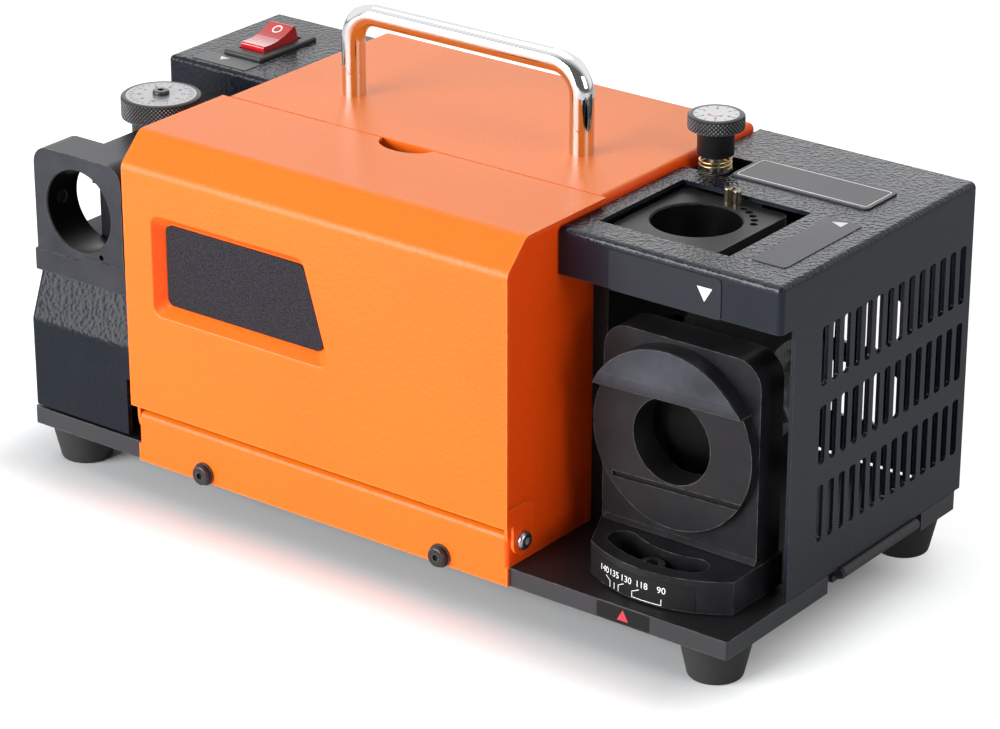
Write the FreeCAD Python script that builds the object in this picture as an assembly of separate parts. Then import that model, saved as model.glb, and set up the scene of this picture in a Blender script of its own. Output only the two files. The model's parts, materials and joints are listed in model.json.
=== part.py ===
import FreeCAD, Part
import math
import os

Vector = FreeCAD.Vector

# Every length is in millimetres and every angle in degrees.
# The machine is drawn from the base plate: x from its left end, y from its front edge,
# z from its top face. save() moves each shape into the shared frame.

# Clearances
fit = 0.05
screw_fit = 0.10
slip = 0.30
ear_gap = 0.20
seam_gap = 0.80
guard_gap = 0.60

# Base plate and feet
base_length = 320.0
base_depth = 148.0
base_thickness = 7.0
base_corner = 0.8
base_skin = 1.2
foot_height = 14.5
foot_top = 26.0
foot_bottom = 19.5
foot_inset = 13.4
foot_recess = 11.0
foot_recess_depth = 8.0

# Screws as thread, head, head height, socket across flats
m3 = (3.0, 5.6, 1.7, 2.0)
m4_small = (4.0, 6.4, 1.8, 2.5)
m4 = (4.0, 7.6, 2.2, 2.5)
m5 = (5.0, 9.2, 2.8, 3.0)
m6 = (6.0, 10.0, 6.0, 5.0)
washer_thickness = 0.8
washer_rim = 0.7

# Left housing with the switch
housing_width = 52.0
housing_box_width = 54.5
housing_wall = 2.5
housing_height = 119.4
housing_low_height = 55.0
housing_box_front = 82.0
housing_lift = 1.2
housing_slope_start = 36.5
housing_slope_back = 6.8
housing_round = 5.0
housing_edge = 2.0
housing_notch = 3.5
housing_notch_height = 24.0
housing_pad = 15.0
switch_length = 34.0
switch_width = 19.5
switch_x = 25.2
switch_y = 113.5
switch_rim = 1.6
switch_depth = 24.0
rocker_length = 19.2
rocker_width = 11.6
rocker_rise = 7.0
rocker_dip = 1.6
rocker_tilt = 12.0
rocker_pin = 3.0
rocker_pin_reach = 1.0
gland_x = 27.0
gland_z = 25.0
gland_bore = 7.2
gland_thread = 16.0
gland_flange = 21.0
gland_stand = 4.5

# Hood and door
sheet = 1.2
hood_height = 122.4
hood_round = 2.4
sill_height = 13.2
sill_gap = 2.8
sill_flange = 7.0
sill_screw_left = 32.5
sill_screw_right = 29.7
sill_screw_drop = 3.5
sill_screw_length = 12.0
door_seam = 53.5
door_chamfer = 10.9
door_bend = 3.0
door_notch_width = 23.6
door_notch_depth = 7.9
seam_flange = 6.8
pivot_y = 6.0
pivot_z = 9.0
ear_radius = 5.5
ear_top = 23.0
ear_round = 4.0
pivot_shoulder = 5.0
pivot_head = 7.0
pivot_head_height = 2.0
pocket_left = 13.4
pocket_top = 95.2
pocket_bottom = 55.6
pocket_top_width = 72.0
pocket_bottom_width = 83.9
pocket_depth = 4.6
pocket_slope = 3.6
pocket_round = 3.6
pocket_bend = 0.9
plate_margin = 0.4
plate_thickness = 0.8
partition_y = 39.0
partition_flange = 15.0

# Carry handle
handle_rod = 9.0
handle_span = 105.0
handle_shift = 2.5
handle_y = 84.3
handle_height = 160.0
handle_bend = 11.5
handle_screw_reach = 12.0

# Setting station on the left housing
ledge_front = 5.0
ledge_back = 72.0
ledge_left = -0.5
ledge_width = 46.5
ledge_height = 10.5
ledge_step = 2.0
ledge_step_x = 22.0
port_bore = 32.0
setting_x = 22.4
setting_wall = 6.0
setting_front = 5.5
setting_thick = 16.7
setting_top = 105.0
setting_corner = 7.0
setting_arm_left = 21.0
setting_arm_depth = 14.0
setting_arm_back = 70.0
setting_port_z = 83.1
dial_y = 53.1
dial_boss = 23.0
dial_boss_rise = 2.5
dial_rim = 31.0
dial_height = 8.4
dial_scale = 27.0
scale_thickness = 0.6
dial_shaft = 8.0
cam_diameter = 14.0
cam_height = 4.0
stop_thick = 4.0
stop_left = 17.0
stop_width = 23.0
stop_rail = 4.8
stop_travel = 2.0
pin_hole = 2.4
pin_hole_offset = 10.7
setting_screw_inset = 7.2
setting_screw_y = 11.0
setting_screw_reach = 5.0

# Grinding head on the right
spindle_height = 53.5
swivel_offset = 51.2
swivel_y = 56.0
swivel_right_reach = 31.0
swivel_left_reach = 35.5
arc_radius = 50.0
arc_height = 13.0
arc_left_reach = 25.5
swivel_lift = 0.6
upright_front = 32.5
upright_depth = 14.0
upright_web = 6.0
upright_rib = 5.0
upright_top = 87.5
upright_corner = 10.0
upright_right_inset = 1.5
disc_diameter = 66.0
disc_thick = 3.5
disc_groove = 2.0
disc_groove_depth = 0.8
disc_groove_gap = 0.8
nose_diameter = 69.4
nose_step = 4.3
nose_chord = 16.1
nose_bevel = 4.7
nose_bevel_depth = 1.0
nose_turn = 1.9
bush_shift = -4.2
bush_height = 51.2
bush_spigot = 42.0
bush_spigot_length = 8.0
bush_bite = 1.8
slot_radius = 39.0
slot_width = 11.0
slot_lower_width = 6.8
slot_floor = 3.6
slot_start = -119.0
slot_end = -71.0
clamp_angle = -95.0
root_bevel = 1.5
pivot_pin = 10.0

# Spindle, wheel and motor
shaft_diameter = 12.0
wheel_diameter = 78.0
wheel_width = 25.5
wheel_land = 4.7
wheel_slope = 0.6
wheel_core_diameter = 36.0
wheel_recess = 6.0
flange_diameter = 26.0
flange_thick = 4.0
nut_flats = 19.0
nut_height = 8.0
motor_diameter = 84.0
motor_left = 40.0
motor_right = 43.4
bell_length = 15.0
stator_bore = 48.0
rotor_gap = 0.5
bearing_outer = 28.0
bearing_width = 8.0
fan_diameter = 70.0
fan_width = 8.0
fan_blades = 9
tie_bolt = 4.0
tie_circle = 74.0
cradle_depth = 56.0
cradle_rise = 26.0
capacitor_diameter = 24.0

# Wheel bracket and splitting station
bracket_thick = 6.5
bracket_front = 48.0
bracket_back = 125.0
bracket_height = 97.0
bracket_flange = 13.0
shaft_hole = 30.0
fin_thick = 2.0
fin_top = 116.5
fin_back = 146.0
shelf_front = 91.0
shelf_back = 121.0
shelf_reach = 21.5
shelf_thick = 13.0
carriage_gap = 1.0
split_x_offset = 29.1
split_y = 67.75
split_left = 20.9
split_right = 23.1
split_front = 46.0
split_top = 116.5
split_arm_top = 112.0
split_corner = 3.0
index_radius = 20.0
index_hole = 3.0
index_first = 25.0
index_step = 11.0
index_holes = 5
index_pins_count = 2
index_pin_stand = 5.8
index_depth = 9.0
guide_pin = 5.0
guide_pin_y = 97.0
guide_pin_first = 4.2
guide_pin_pitch = 12.0
guide_pin_stand = 8.0
guide_hole_depth = 9.0
knob_offset = 7.7
knob_y = 110.5
stud_diameter = 6.0
knob_neck = 13.5
knob_neck_base = 123.4
knob_boss = 12.6
knob_boss_top = 118.0
knob_neck_height = 9.8
knob_rim = 21.0
knob_rim_height = 5.4
knob_scale = 16.6
spring_wire = 0.9
spring_pitch = 1.5
spring_mean = 11.4

# Wheel guard and its hinge
guard_width = 91.2
guard_sheet = 1.5
guard_height = 119.4
guard_round = 2.2
guard_front = 27.1
guard_lip_bottom = 102.3
guard_wall_front = 36.0
guard_lift = 0.3
guard_rear_gap = 1.5
window_front = 40.5
window_back = 91.0
window_left = 7.2
window_right = 61.2
knob_notch_front = 102.0
knob_notch_back = 120.7
knob_notch_reach = 18.2
vent_width = 4.0
vent_corner = 1.3
vent_pitch = 6.9
vent_first = 55.0
vent_rows = ((75.0, 97.0), (45.5, 67.6), (16.0, 37.6))
vent_rear_margin = 5.0
rear_vent_first = 27.3
rear_vent_count = 6
hinge_barrel = 4.4
hinge_pin_diameter = 2.2
hinge_drop = 2.2
hinge_leaf = 1.5
hinge_front = 70.5
hinge_mid_front = 85.5
hinge_mid_back = 107.4
hinge_back = 120.0
hinge_notch_depth = 4.5
hinge_notch_margin = 4.5
hinge_leaf_rise = 15.0

# Sizes that follow from the ones above
hood_left = housing_box_width + slip
guard_right = base_length
guard_left = guard_right - guard_width
hood_right = guard_left - guard_gap
hood_width = hood_right - hood_left
hood_front = -sheet
hood_back = base_depth + sheet
door_left = hood_left - ear_gap - sheet
door_right = hood_right + ear_gap + sheet
door_front = hood_front - seam_gap - sheet
door_low = sill_height + sill_gap
door_top = hood_height
hood_middle = (hood_left + hood_right) / 2
swivel_x = guard_left + swivel_offset
guard_back = base_depth + guard_rear_gap + guard_sheet
deck_height = foot_height + base_thickness
disc_front = upright_front - disc_thick
disc_nose = disc_front - nose_step
bush_x = swivel_x + bush_shift
split_x = guard_left + split_x_offset
wheel_left = split_x + slip * 5
wheel_radius = wheel_diameter / 2
wheel_contact = wheel_radius - wheel_slope * (swivel_x - wheel_left - wheel_land)
spindle_y = swivel_y + wheel_contact
bracket_left = hood_right + slip
bracket_right = bracket_left + bracket_thick
split_bottom = bracket_height + carriage_gap
knob_x = guard_left + knob_offset
ledge_bottom = housing_low_height
ledge_top = ledge_bottom + ledge_height
dial_bottom = setting_top + dial_boss_rise + slip
dial_top = dial_bottom + dial_height
setting_back = setting_front + setting_thick
setting_left = setting_x - port_bore / 2 - setting_wall
setting_right = setting_x + port_bore / 2 + setting_wall
stop_front = setting_back + slip * 3
knob_rim_base = knob_neck_base + knob_neck_height
knob_top = knob_rim_base + knob_rim_height
motor_length = hood_width - motor_left - motor_right
cradle_width = motor_length * 2 / 3
capacitor_length = motor_length / 2 + 1
hinge_x = guard_right
hinge_z = -hinge_drop

ALONG_X = Vector(1, 0, 0)
ALONG_Y = Vector(0, 1, 0)
ALONG_Z = Vector(0, 0, 1)


def box(xs, ys, zs):
    """Block between two limits on each axis."""
    corner = Vector(xs[0], ys[0], zs[0])
    return Part.makeBox(xs[1] - xs[0], ys[1] - ys[0], zs[1] - zs[0], corner)


def rod(point, direction, diameter, length):
    """Round bar that starts at a point and runs along a direction."""
    return Part.makeCylinder(diameter / 2, length, Vector(*point), direction)


def prism(axis, corners, span):
    """Straight prism on a polygon given in the two axes that are not its own."""
    lay = {
        "x": lambda a, b: Vector(span[0], a, b),
        "y": lambda a, b: Vector(a, span[0], b),
        "z": lambda a, b: Vector(a, b, span[0]),
    }[axis]
    run = {"x": ALONG_X, "y": ALONG_Y, "z": ALONG_Z}[axis] * (span[1] - span[0])
    points = [lay(a, b) for a, b in corners]
    return Part.Face(Part.makePolygon(points + points[:1])).extrude(run)


def lies(edge, **limits):
    """True where an edge's middle is at the given x, y or z, and it runs along 'run'."""
    bounds = edge.BoundBox
    spans = {"x": bounds.XLength, "y": bounds.YLength, "z": bounds.ZLength}
    run = limits.pop("run", None)
    if run and any(spans[name] > 1e-4 for name in spans if name != run):
        return False
    middle = {"x": bounds.Center.x, "y": bounds.Center.y, "z": bounds.Center.z}
    return all(abs(middle[name] - limits[name]) < 1e-3 for name in limits)


def soften(shape, radius, *places):
    """Round every edge that lies at one of the places."""
    edges = [e for e in shape.Edges if any(lies(e, **dict(place)) for place in places)]
    return shape.makeFillet(radius, edges)


def join(*shapes):
    """One solid from shapes that share faces or volume."""
    return shapes[0].fuse(list(shapes[1:])).removeSplitter()


def group(shapes):
    """Separate solids kept in one node."""
    return Part.makeCompound(shapes)


def screw(size, length, dome=0.8):
    """Screw on the z axis: head above zero, shank below, hexagon socket in the head."""
    thread, head, height, flats = size
    shank = Part.makeCylinder(thread / 2, length, Vector(0, 0, -length))
    shank = shank.makeChamfer(thread * 0.12, [e for e in shank.Edges if lies(e, z=-length)])
    cap = Part.makeCylinder(head / 2, height)
    cap = cap.makeFillet(dome, [e for e in cap.Edges if lies(e, z=height)])
    across = flats / math.sqrt(3)
    turns = [math.radians(60 * i) for i in range(6)]
    socket = prism("z", [(across * math.cos(t), across * math.sin(t)) for t in turns],
                   (height * 0.4, height * 2))
    return join(shank, cap).cut(socket)


def washer(size):
    """Plain washer standing on zero under a screw head."""
    outer = Part.makeCylinder(size[1] / 2 + washer_rim, washer_thickness)
    return outer.cut(Part.makeCylinder(size[0] / 2 + screw_fit, washer_thickness))


def stand(shape, point, direction):
    """Copy of a shape with its z axis turned to a direction and its zero at a point."""
    copy = shape.copy()
    turn = FreeCAD.Rotation(ALONG_Z, direction)
    copy.Placement = FreeCAD.Placement(Vector(*point), turn)
    return copy


def screw_hole(size, point, direction, depth):
    """Drilled hole for a screw: runs from a point along a direction."""
    return rod(point, direction, size[0] + 2 * screw_fit, depth)


def foot_places():
    """Centre of each foot on the base."""
    xs = (foot_inset, base_length - foot_inset)
    ys = (foot_inset, base_depth - foot_inset)
    return [(x, y) for x in xs for y in ys]


def clamp_place():
    turn = math.radians(clamp_angle)
    return (swivel_x + slot_radius * math.cos(turn), swivel_y + slot_radius * math.sin(turn))


def hood_screw_places():
    """Front and rear screws that hold the hood to the base edges."""
    xs = (hood_left + sill_screw_left, hood_right - sill_screw_right)
    front = [(x, hood_front, -sill_screw_drop, -ALONG_Y) for x in xs]
    rear = [(x, hood_back, -sill_screw_drop, ALONG_Y) for x in xs]
    return front + rear


def handle_places():
    middle = hood_middle + handle_shift
    return [middle - handle_span / 2, middle + handle_span / 2]


def cradle_places():
    middle = hood_left + motor_left + motor_length / 2
    reach_x = cradle_width / 2 - m4[1]
    reach_y = cradle_depth / 2 + m4[1]
    return [(middle + i * reach_x, spindle_y + j * reach_y) for i in (-1, 1) for j in (-1, 1)]


def partition_places():
    reach = hood_width / 3
    return [(hood_middle + i * reach, partition_y - partition_flange / 2) for i in (-1, 1)]


def bracket_places():
    x = bracket_right + bracket_flange / 2
    return [(x, spindle_y - 10), (x, spindle_y + 20)]


def housing_places():
    return [(housing_wall + 6, y) for y in (base_depth * 0.3, base_depth * 0.75)]


def base_plate():
    """Flat plate that carries every station, notched for the guard hinge."""
    plate = box((0, base_length), (0, base_depth), (-base_thickness, 0))
    corners = [dict(run="z", x=x, y=y) for x in (0, base_length) for y in (0, base_depth)]
    plate = soften(plate, base_corner, *corners)
    notch = box((base_length - hinge_notch_depth, base_length + 1),
                (hinge_front - 2 * hinge_notch_margin + 1, hinge_back + hinge_notch_margin),
                (-base_thickness - 1, 1))
    holes = [notch]
    for x, y in foot_places():
        holes.append(screw_hole(m5, (x, y, -base_thickness - 1), ALONG_Z,
                                base_thickness + 1 - base_skin))
    for x, y, z, outward in hood_screw_places():
        start = Vector(x, y, z) + outward
        holes.append(screw_hole(m4, start, -outward, sill_screw_length + 3))
    for x, y in cradle_places() + partition_places() + bracket_places():
        holes.append(screw_hole(m4, (x, y, -base_thickness - 1), ALONG_Z, base_thickness + 2))
    for x, y in housing_places():
        holes.append(screw_hole(m4, (x, y, -base_thickness - 1), ALONG_Z, base_thickness + 2))
    x, y = clamp_place()
    holes.append(screw_hole(m6, (x, y, -base_thickness - 1), ALONG_Z, base_thickness + 2))
    holes.append(rod((swivel_x, swivel_y, -base_thickness - 1), ALONG_Z,
                     pivot_pin + 2 * fit, base_thickness + 2))
    return plate.cut(holes)


def rubber_feet():
    """Four tapered feet, each with a recess for its screw."""
    feet = []
    bottom = -base_thickness - foot_height
    for x, y in foot_places():
        foot = Part.makeCone(foot_bottom / 2, foot_top / 2, foot_height, Vector(x, y, bottom))
        foot = soften(foot, 1.2, dict(z=bottom, x=x, y=y))
        recess = rod((x, y, bottom), ALONG_Z, foot_recess, foot_recess_depth)
        hole = screw_hole(m5, (x, y, bottom), ALONG_Z, foot_height)
        feet.append(foot.cut([recess, hole]))
    return group(feet)


def foot_screws():
    seat = -base_thickness - foot_height + foot_recess_depth
    length = foot_height - foot_recess_depth + base_thickness - 2 * base_skin
    return group([stand(screw(m5, length), (x, y, seat), -ALONG_Z) for x, y in foot_places()])


def hood_shell():
    """Folded sheet cover: two sides, back, rear half of the top, and the front sill."""
    chamfer_y = door_front + door_chamfer
    side = [
        (sill_flange, 0), (sill_flange, sill_height - hood_round), (0, sill_height - hood_round),
        (hood_front, sill_height - hood_round),
        (hood_front, hood_height - door_chamfer - seam_gap),
        (chamfer_y + seam_gap, hood_height - sheet - seam_gap),
        (door_seam + seam_gap, hood_height - sheet - seam_gap),
        (door_seam + seam_gap, hood_height), (hood_back, hood_height), (hood_back, 0),
    ]
    outer = prism("x", side, (hood_left, hood_right))
    outer = soften(
        outer, hood_round,
        dict(run="y", x=hood_left, z=hood_height), dict(run="y", x=hood_right, z=hood_height),
        dict(run="x", y=hood_back, z=hood_height),
        dict(run="z", x=hood_left, y=hood_back), dict(run="z", x=hood_right, y=hood_back),
    )
    inside = (hood_left + sheet, hood_right - sheet)
    hollow = box(inside, (door_seam, base_depth), (-1, hood_height - sheet))
    open_front = box(inside, (hood_front - 5, door_seam + seam_gap), (-1, hood_height + 5))
    walls = outer.cut([hollow, open_front])
    sill = box((hood_left, hood_right), (hood_front, sill_flange), (0, sill_height))
    sill = soften(sill, hood_round, dict(run="x", y=hood_front, z=sill_height))
    sill = soften(sill, hood_round - 0.4, dict(run="z", x=hood_left, y=hood_front),
                  dict(run="z", x=hood_right, y=hood_front))
    sill = sill.cut(box(inside, (0, sill_flange + 1), (-1, sill_height - sheet)))
    apron = box((hood_left, hood_right), (hood_front, 0), (-base_thickness, 0))
    rear = box((hood_left, hood_right), (base_depth, hood_back), (-base_thickness, 0))
    seam = door_seam + seam_gap
    flange = box(inside, (seam, seam + sheet), (hood_height - seam_flange, hood_height - sheet))
    shell = join(walls, sill, apron, rear, flange)
    holes = [rod((hood_right - 3, spindle_y, spindle_height), ALONG_X, shaft_hole, 6)]
    for x in handle_places():
        holes.append(screw_hole(m5, (x, handle_y, hood_height + 1), -ALONG_Z, sheet + 2))
    for x, y, z, outward in hood_screw_places():
        holes.append(screw_hole(m4, Vector(x, y, z) + outward, -outward, sheet + 2))
    for x in (hood_left - 1, hood_right - sheet - 1):
        holes.append(screw_hole(m4, (x, pivot_y, pivot_z), ALONG_X, sheet + 2))
    return shell.cut(holes)


def hood_screws():
    places = hood_screw_places()
    length = sill_screw_length + washer_thickness
    return group([stand(screw(m4, length), Vector(x, y, z) + out * washer_thickness, out)
                  for x, y, z, out in places])


def hood_washers():
    return group([stand(washer(m4), (x, y, z), out) for x, y, z, out in hood_screw_places()])


def pocket_corners(inset):
    """Outline of the plate pocket in the door front, as x and z, drawn in by inset."""
    left = door_left + pocket_left
    points = [(left, pocket_bottom), (left + pocket_bottom_width, pocket_bottom),
              (left + pocket_top_width, pocket_top), (left, pocket_top)]
    return draw_in(points, inset)


def draw_in(points, inset):
    """Convex outline, listed anticlockwise, with each side moved inward."""
    lines = []
    for (ax, az), (bx, bz) in zip(points, points[1:] + points[:1]):
        length = math.hypot(bx - ax, bz - az)
        dx, dz = (bx - ax) / length, (bz - az) / length
        lines.append((ax - dz * inset, az + dx * inset, dx, dz))
    result = []
    for (ax, az, adx, adz), (bx, bz, bdx, bdz) in zip(lines[-1:] + lines[:-1], lines):
        cross = adx * bdz - adz * bdx
        step = ((bx - ax) * bdz - (bz - az) * bdx) / cross
        result.append((ax + step * adx, az + step * adz))
    return result


def rounded_wire(points, radius, y):
    """Closed outline with round corners in a plane of constant y."""
    edges = []
    ends = []
    count = len(points)
    for i in range(count):
        corner = Vector(points[i][0], y, points[i][1])
        before = Vector(points[i - 1][0], y, points[i - 1][1]) - corner
        after = Vector(points[(i + 1) % count][0], y, points[(i + 1) % count][1]) - corner
        before.normalize()
        after.normalize()
        half = before.getAngle(after) / 2
        reach = radius / math.tan(half)
        middle = before + after
        middle.normalize()
        centre = corner + middle * (radius / math.sin(half))
        ends.append((corner + before * reach, centre - middle * radius, corner + after * reach))
    for i in range(count):
        start, top, end = ends[i]
        edges.append(Part.Arc(start, top, end).toShape())
        edges.append(Part.makeLine(end, ends[(i + 1) % count][0]))
    return Part.Wire(edges)


def slope_block(outer, inner, radius, front, back):
    """Solid with sloping sides between two round cornered outlines."""
    wires = [rounded_wire(outer, radius, front),
             rounded_wire(inner, radius, back)]
    return Part.makeLoft(wires, True, True)


def door_panel():
    """Folding front door: front, chamfer and top in one sheet, with two pivot ears."""
    low, high = door_low, door_top - door_chamfer
    chamfer_y = door_front + door_chamfer
    lean = sheet * math.tan(math.radians(22.5))
    profile = [
        (door_front, low), (door_front, high), (chamfer_y, door_top), (door_seam, door_top),
        (door_seam, door_top - sheet), (chamfer_y + lean, door_top - sheet),
        (door_front + sheet, high - lean), (door_front + sheet, low),
    ]
    panel = prism("x", profile, (door_left, door_right))
    panel = soften(panel, door_bend + sheet, dict(run="x", y=door_front, z=high),
                   dict(run="x", y=chamfer_y, z=door_top))
    panel = soften(panel, door_bend, dict(run="x", y=door_front + sheet, z=high - lean),
                   dict(run="x", y=chamfer_y + lean, z=door_top - sheet))
    back = door_front + pocket_depth
    shell = slope_block(pocket_corners(-sheet), pocket_corners(pocket_slope - sheet),
                        pocket_round, door_front + sheet / 2, back + sheet)
    hollow = slope_block(pocket_corners(0), pocket_corners(pocket_slope),
                         pocket_round, door_front, back)
    lead = slope_block(pocket_corners(0), pocket_corners(0), pocket_round, door_front - 2,
                       door_front)
    panel = panel.fuse(shell).cut([hollow, lead])
    rim = [e for e in panel.Edges if lies(e, y=door_front) and e.BoundBox.YLength < 1e-4
           and pocket_bottom - 1 < e.BoundBox.ZMin and e.BoundBox.ZMax < pocket_top + 1]
    panel = panel.makeFillet(pocket_bend, rim)
    rim = Part.Ellipse(Vector(hood_middle, door_seam, door_top - 5), door_notch_width / 2,
                       door_notch_depth)
    finger = Part.Face(Part.Wire(rim.toShape())).extrude(ALONG_Z * 10)
    panel = panel.cut(finger)
    for x in (door_left, door_right - sheet):
        span = (x, x + sheet)
        rear = pivot_y + ear_radius
        upper = box(span, (door_front, rear), (door_low, ear_top))
        upper = soften(upper, ear_round, dict(run="x", y=rear, z=ear_top))
        lower = box(span, (pivot_y - ear_radius, rear), (pivot_z, door_low))
        lobe = rod((x, pivot_y, pivot_z), ALONG_X, 2 * ear_radius, sheet)
        panel = panel.fuse([upper, lower, lobe])
        panel = panel.cut(rod((x - 1, pivot_y, pivot_z), ALONG_X,
                              pivot_shoulder + 2 * fit, sheet + 2))
    return panel.removeSplitter()


def door_nameplate():
    """Bare plate on the pocket floor."""
    outline = pocket_corners(pocket_slope + plate_margin)
    back = door_front + pocket_depth
    face = Part.Face(rounded_wire(outline, pocket_round - 2 * plate_margin, back))
    return face.extrude(-ALONG_Y * plate_thickness)


def door_pivot_screws():
    """Shoulder screws the door ears turn on."""
    screws = []
    shoulder = sheet + ear_gap + fit
    for face, out in ((hood_left, -1), (hood_right, 1)):
        head = Part.makeCylinder(pivot_head / 2, pivot_head_height, Vector(0, 0, shoulder))
        head = soften(head, pivot_head_height * 0.7, dict(z=shoulder + pivot_head_height))
        body = Part.makeCylinder(pivot_shoulder / 2, shoulder)
        thread = Part.makeCylinder(m4[0] / 2, sheet + 4, Vector(0, 0, -sheet - 4))
        whole = join(thread, body, head)
        across = m4[3] / math.sqrt(3)
        turns = [math.radians(60 * i) for i in range(6)]
        socket = prism("z", [(across * math.cos(t), across * math.sin(t)) for t in turns],
                       (shoulder + pivot_head_height * 0.4, shoulder + 5))
        screws.append(stand(whole.cut(socket), (face, pivot_y, pivot_z), ALONG_X * out))
    return group(screws)


def carry_handle():
    """Round bar bent down at both ends onto the hood top."""
    left, right = handle_places()
    top = handle_height - handle_rod / 2
    bend = handle_bend
    cut = bend * (1 - math.sqrt(0.5))
    spots = [
        (left, hood_height), (left, top - bend), (left + cut, top - cut), (left + bend, top),
        (right - bend, top), (right - cut, top - cut), (right, top - bend), (right, hood_height),
    ]
    p = [Vector(x, handle_y, z) for x, z in spots]
    path = Part.Wire([
        Part.makeLine(p[0], p[1]), Part.Arc(p[1], p[2], p[3]).toShape(),
        Part.makeLine(p[3], p[4]), Part.Arc(p[4], p[5], p[6]).toShape(),
        Part.makeLine(p[6], p[7]),
    ])
    ring = Part.Wire(Part.makeCircle(handle_rod / 2, p[0], ALONG_Z))
    bar = path.makePipeShell([ring], True, False)
    holes = [screw_hole(m5, (x, handle_y, hood_height), ALONG_Z, handle_screw_reach + 1)
             for x in (left, right)]
    return bar.cut(holes)


def handle_screws():
    seat = hood_height - sheet
    length = sheet + handle_screw_reach
    return group([stand(screw(m5, length), (x, handle_y, seat), -ALONG_Z)
                  for x in handle_places()])


def motor_partition():
    """Sheet between the storage bay behind the door and the motor."""
    span = (hood_left + sheet + slip, hood_right - sheet - slip)
    top = hood_height - 6 * sheet
    wall = box(span, (partition_y, partition_y + sheet), (0, top))
    floor = box(span, (partition_y - partition_flange, partition_y + sheet), (0, sheet))
    ceiling = box(span, (partition_y, door_seam + 6), (top - sheet, top))
    holes = [screw_hole(m4, (x, y, -1), ALONG_Z, sheet + 2) for x, y in partition_places()]
    return join(wall, floor, ceiling).cut(holes)


def partition_screws():
    return group([stand(screw(m4, sheet + base_thickness - 1), (x, y, sheet), ALONG_Z)
                  for x, y in partition_places()])


def housing_joint_places():
    """Screws between the switch box and the low front, as x and z."""
    return [(housing_wall + 5, 32.0), (housing_width - 12, housing_low_height - housing_wall - 5)]


def base_pad(place):
    """Pad inside the left wall for a screw from below the base."""
    x, y = place
    pad = box((housing_wall - 1, x + 6), (y - 8, y + 8), (0, 10))
    return pad.cut(screw_hole(m4, (x, y, -1), ALONG_Z, 9))


def side_housing():
    """Low front of the left housing, with a sloped face, open to the switch box behind it."""
    wall = housing_wall
    profile = [(0, housing_lift), (0, housing_slope_start), (housing_slope_back, housing_low_height),
               (housing_box_front, housing_low_height), (housing_box_front, housing_lift)]
    body = prism("x", profile, (0, housing_width))
    body = soften(body, housing_round, dict(run="x", y=0, z=housing_slope_start))
    body = soften(body, housing_edge, dict(run="z", x=0, y=0))
    room = [
        (wall, housing_lift - 1), (wall, housing_slope_start - 0.5),
        (housing_slope_back + wall - 0.4, housing_low_height - wall),
        (housing_box_front + 1, housing_low_height - wall), (housing_box_front + 1, housing_lift - 1),
    ]
    hollow = prism("x", room, (wall, housing_width + 1))
    notch = box((housing_width - housing_notch, housing_width + 1), (-1, wall + 12),
                (housing_lift - 1, housing_notch_height))
    body = body.cut([hollow, notch])
    pads = [base_pad(housing_places()[0])]
    front = housing_box_front - housing_pad
    (left, low), (right, high) = housing_joint_places()
    pads.append(box((wall - 1, left + 5), (front, housing_box_front), (low - 5, low + 5)))
    pads.append(box((right - 5, right + 5), (front, housing_box_front), (high - 5, high + 6)))
    body = join(body, *pads)
    holes = [screw_hole(m4, (x, y, housing_low_height + 1), -ALONG_Z, wall + 2)
             for x, y in setting_screw_places()]
    holes += [screw_hole(m4, (x, housing_box_front + 1, z), -ALONG_Y, housing_pad)
              for x, z in housing_joint_places()]
    return body.cut(holes)


def switch_box():
    """High box of the left housing: switch on top, cord gland at the back."""
    wall = housing_wall
    xs = (0, housing_box_width)
    ys = (housing_box_front, base_depth)
    lower = box(xs, ys, (housing_lift, housing_low_height))
    lower = soften(lower, housing_edge, dict(run="z", x=0, y=base_depth))
    upper = box(xs, ys, (housing_low_height, housing_height))
    upper = soften(
        upper, housing_edge,
        dict(run="z", x=0, y=housing_box_front), dict(run="z", x=0, y=base_depth),
        dict(run="y", x=0, z=housing_height),
        dict(run="x", y=housing_box_front, z=housing_height),
        dict(run="x", y=base_depth, z=housing_height),
    )
    room = box((wall, housing_box_width + 1), (housing_box_front + wall, base_depth - wall),
               (housing_lift - 1, housing_height - wall))
    body = join(lower, upper).cut(room)
    body = join(body, base_pad(housing_places()[1]))
    window = box((switch_x - switch_width / 2 + 1.2, switch_x + switch_width / 2 - 1.2),
                 (switch_y - switch_length / 2 + 1.6, switch_y + switch_length / 2 - 1.6),
                 (housing_height - wall - 1, housing_height + 1))
    cable = rod((gland_x, base_depth + 1, gland_z), -ALONG_Y, gland_thread + 2 * fit, wall + 2)
    passage = box((housing_box_width / 3, housing_box_width * 2 / 3),
                  (housing_box_front - 1, housing_box_front + wall + 1), (6, 26))
    holes = [screw_hole(m4, (x, housing_box_front - 1, z), ALONG_Y, wall + 2)
             for x, z in housing_joint_places()]
    return body.cut([window, cable, passage] + holes)


def housing_screws():
    """Screws from below the base into the housing's pads, and from the box into the front."""
    length = base_thickness + 7
    seat = housing_box_front + housing_wall
    below = [stand(screw(m4, length), (x, y, -base_thickness), -ALONG_Z)
             for x, y in housing_places()]
    inside = [stand(screw(m4, length), (x, seat, z), ALONG_Y) for x, z in housing_joint_places()]
    return group(below + inside)


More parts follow.
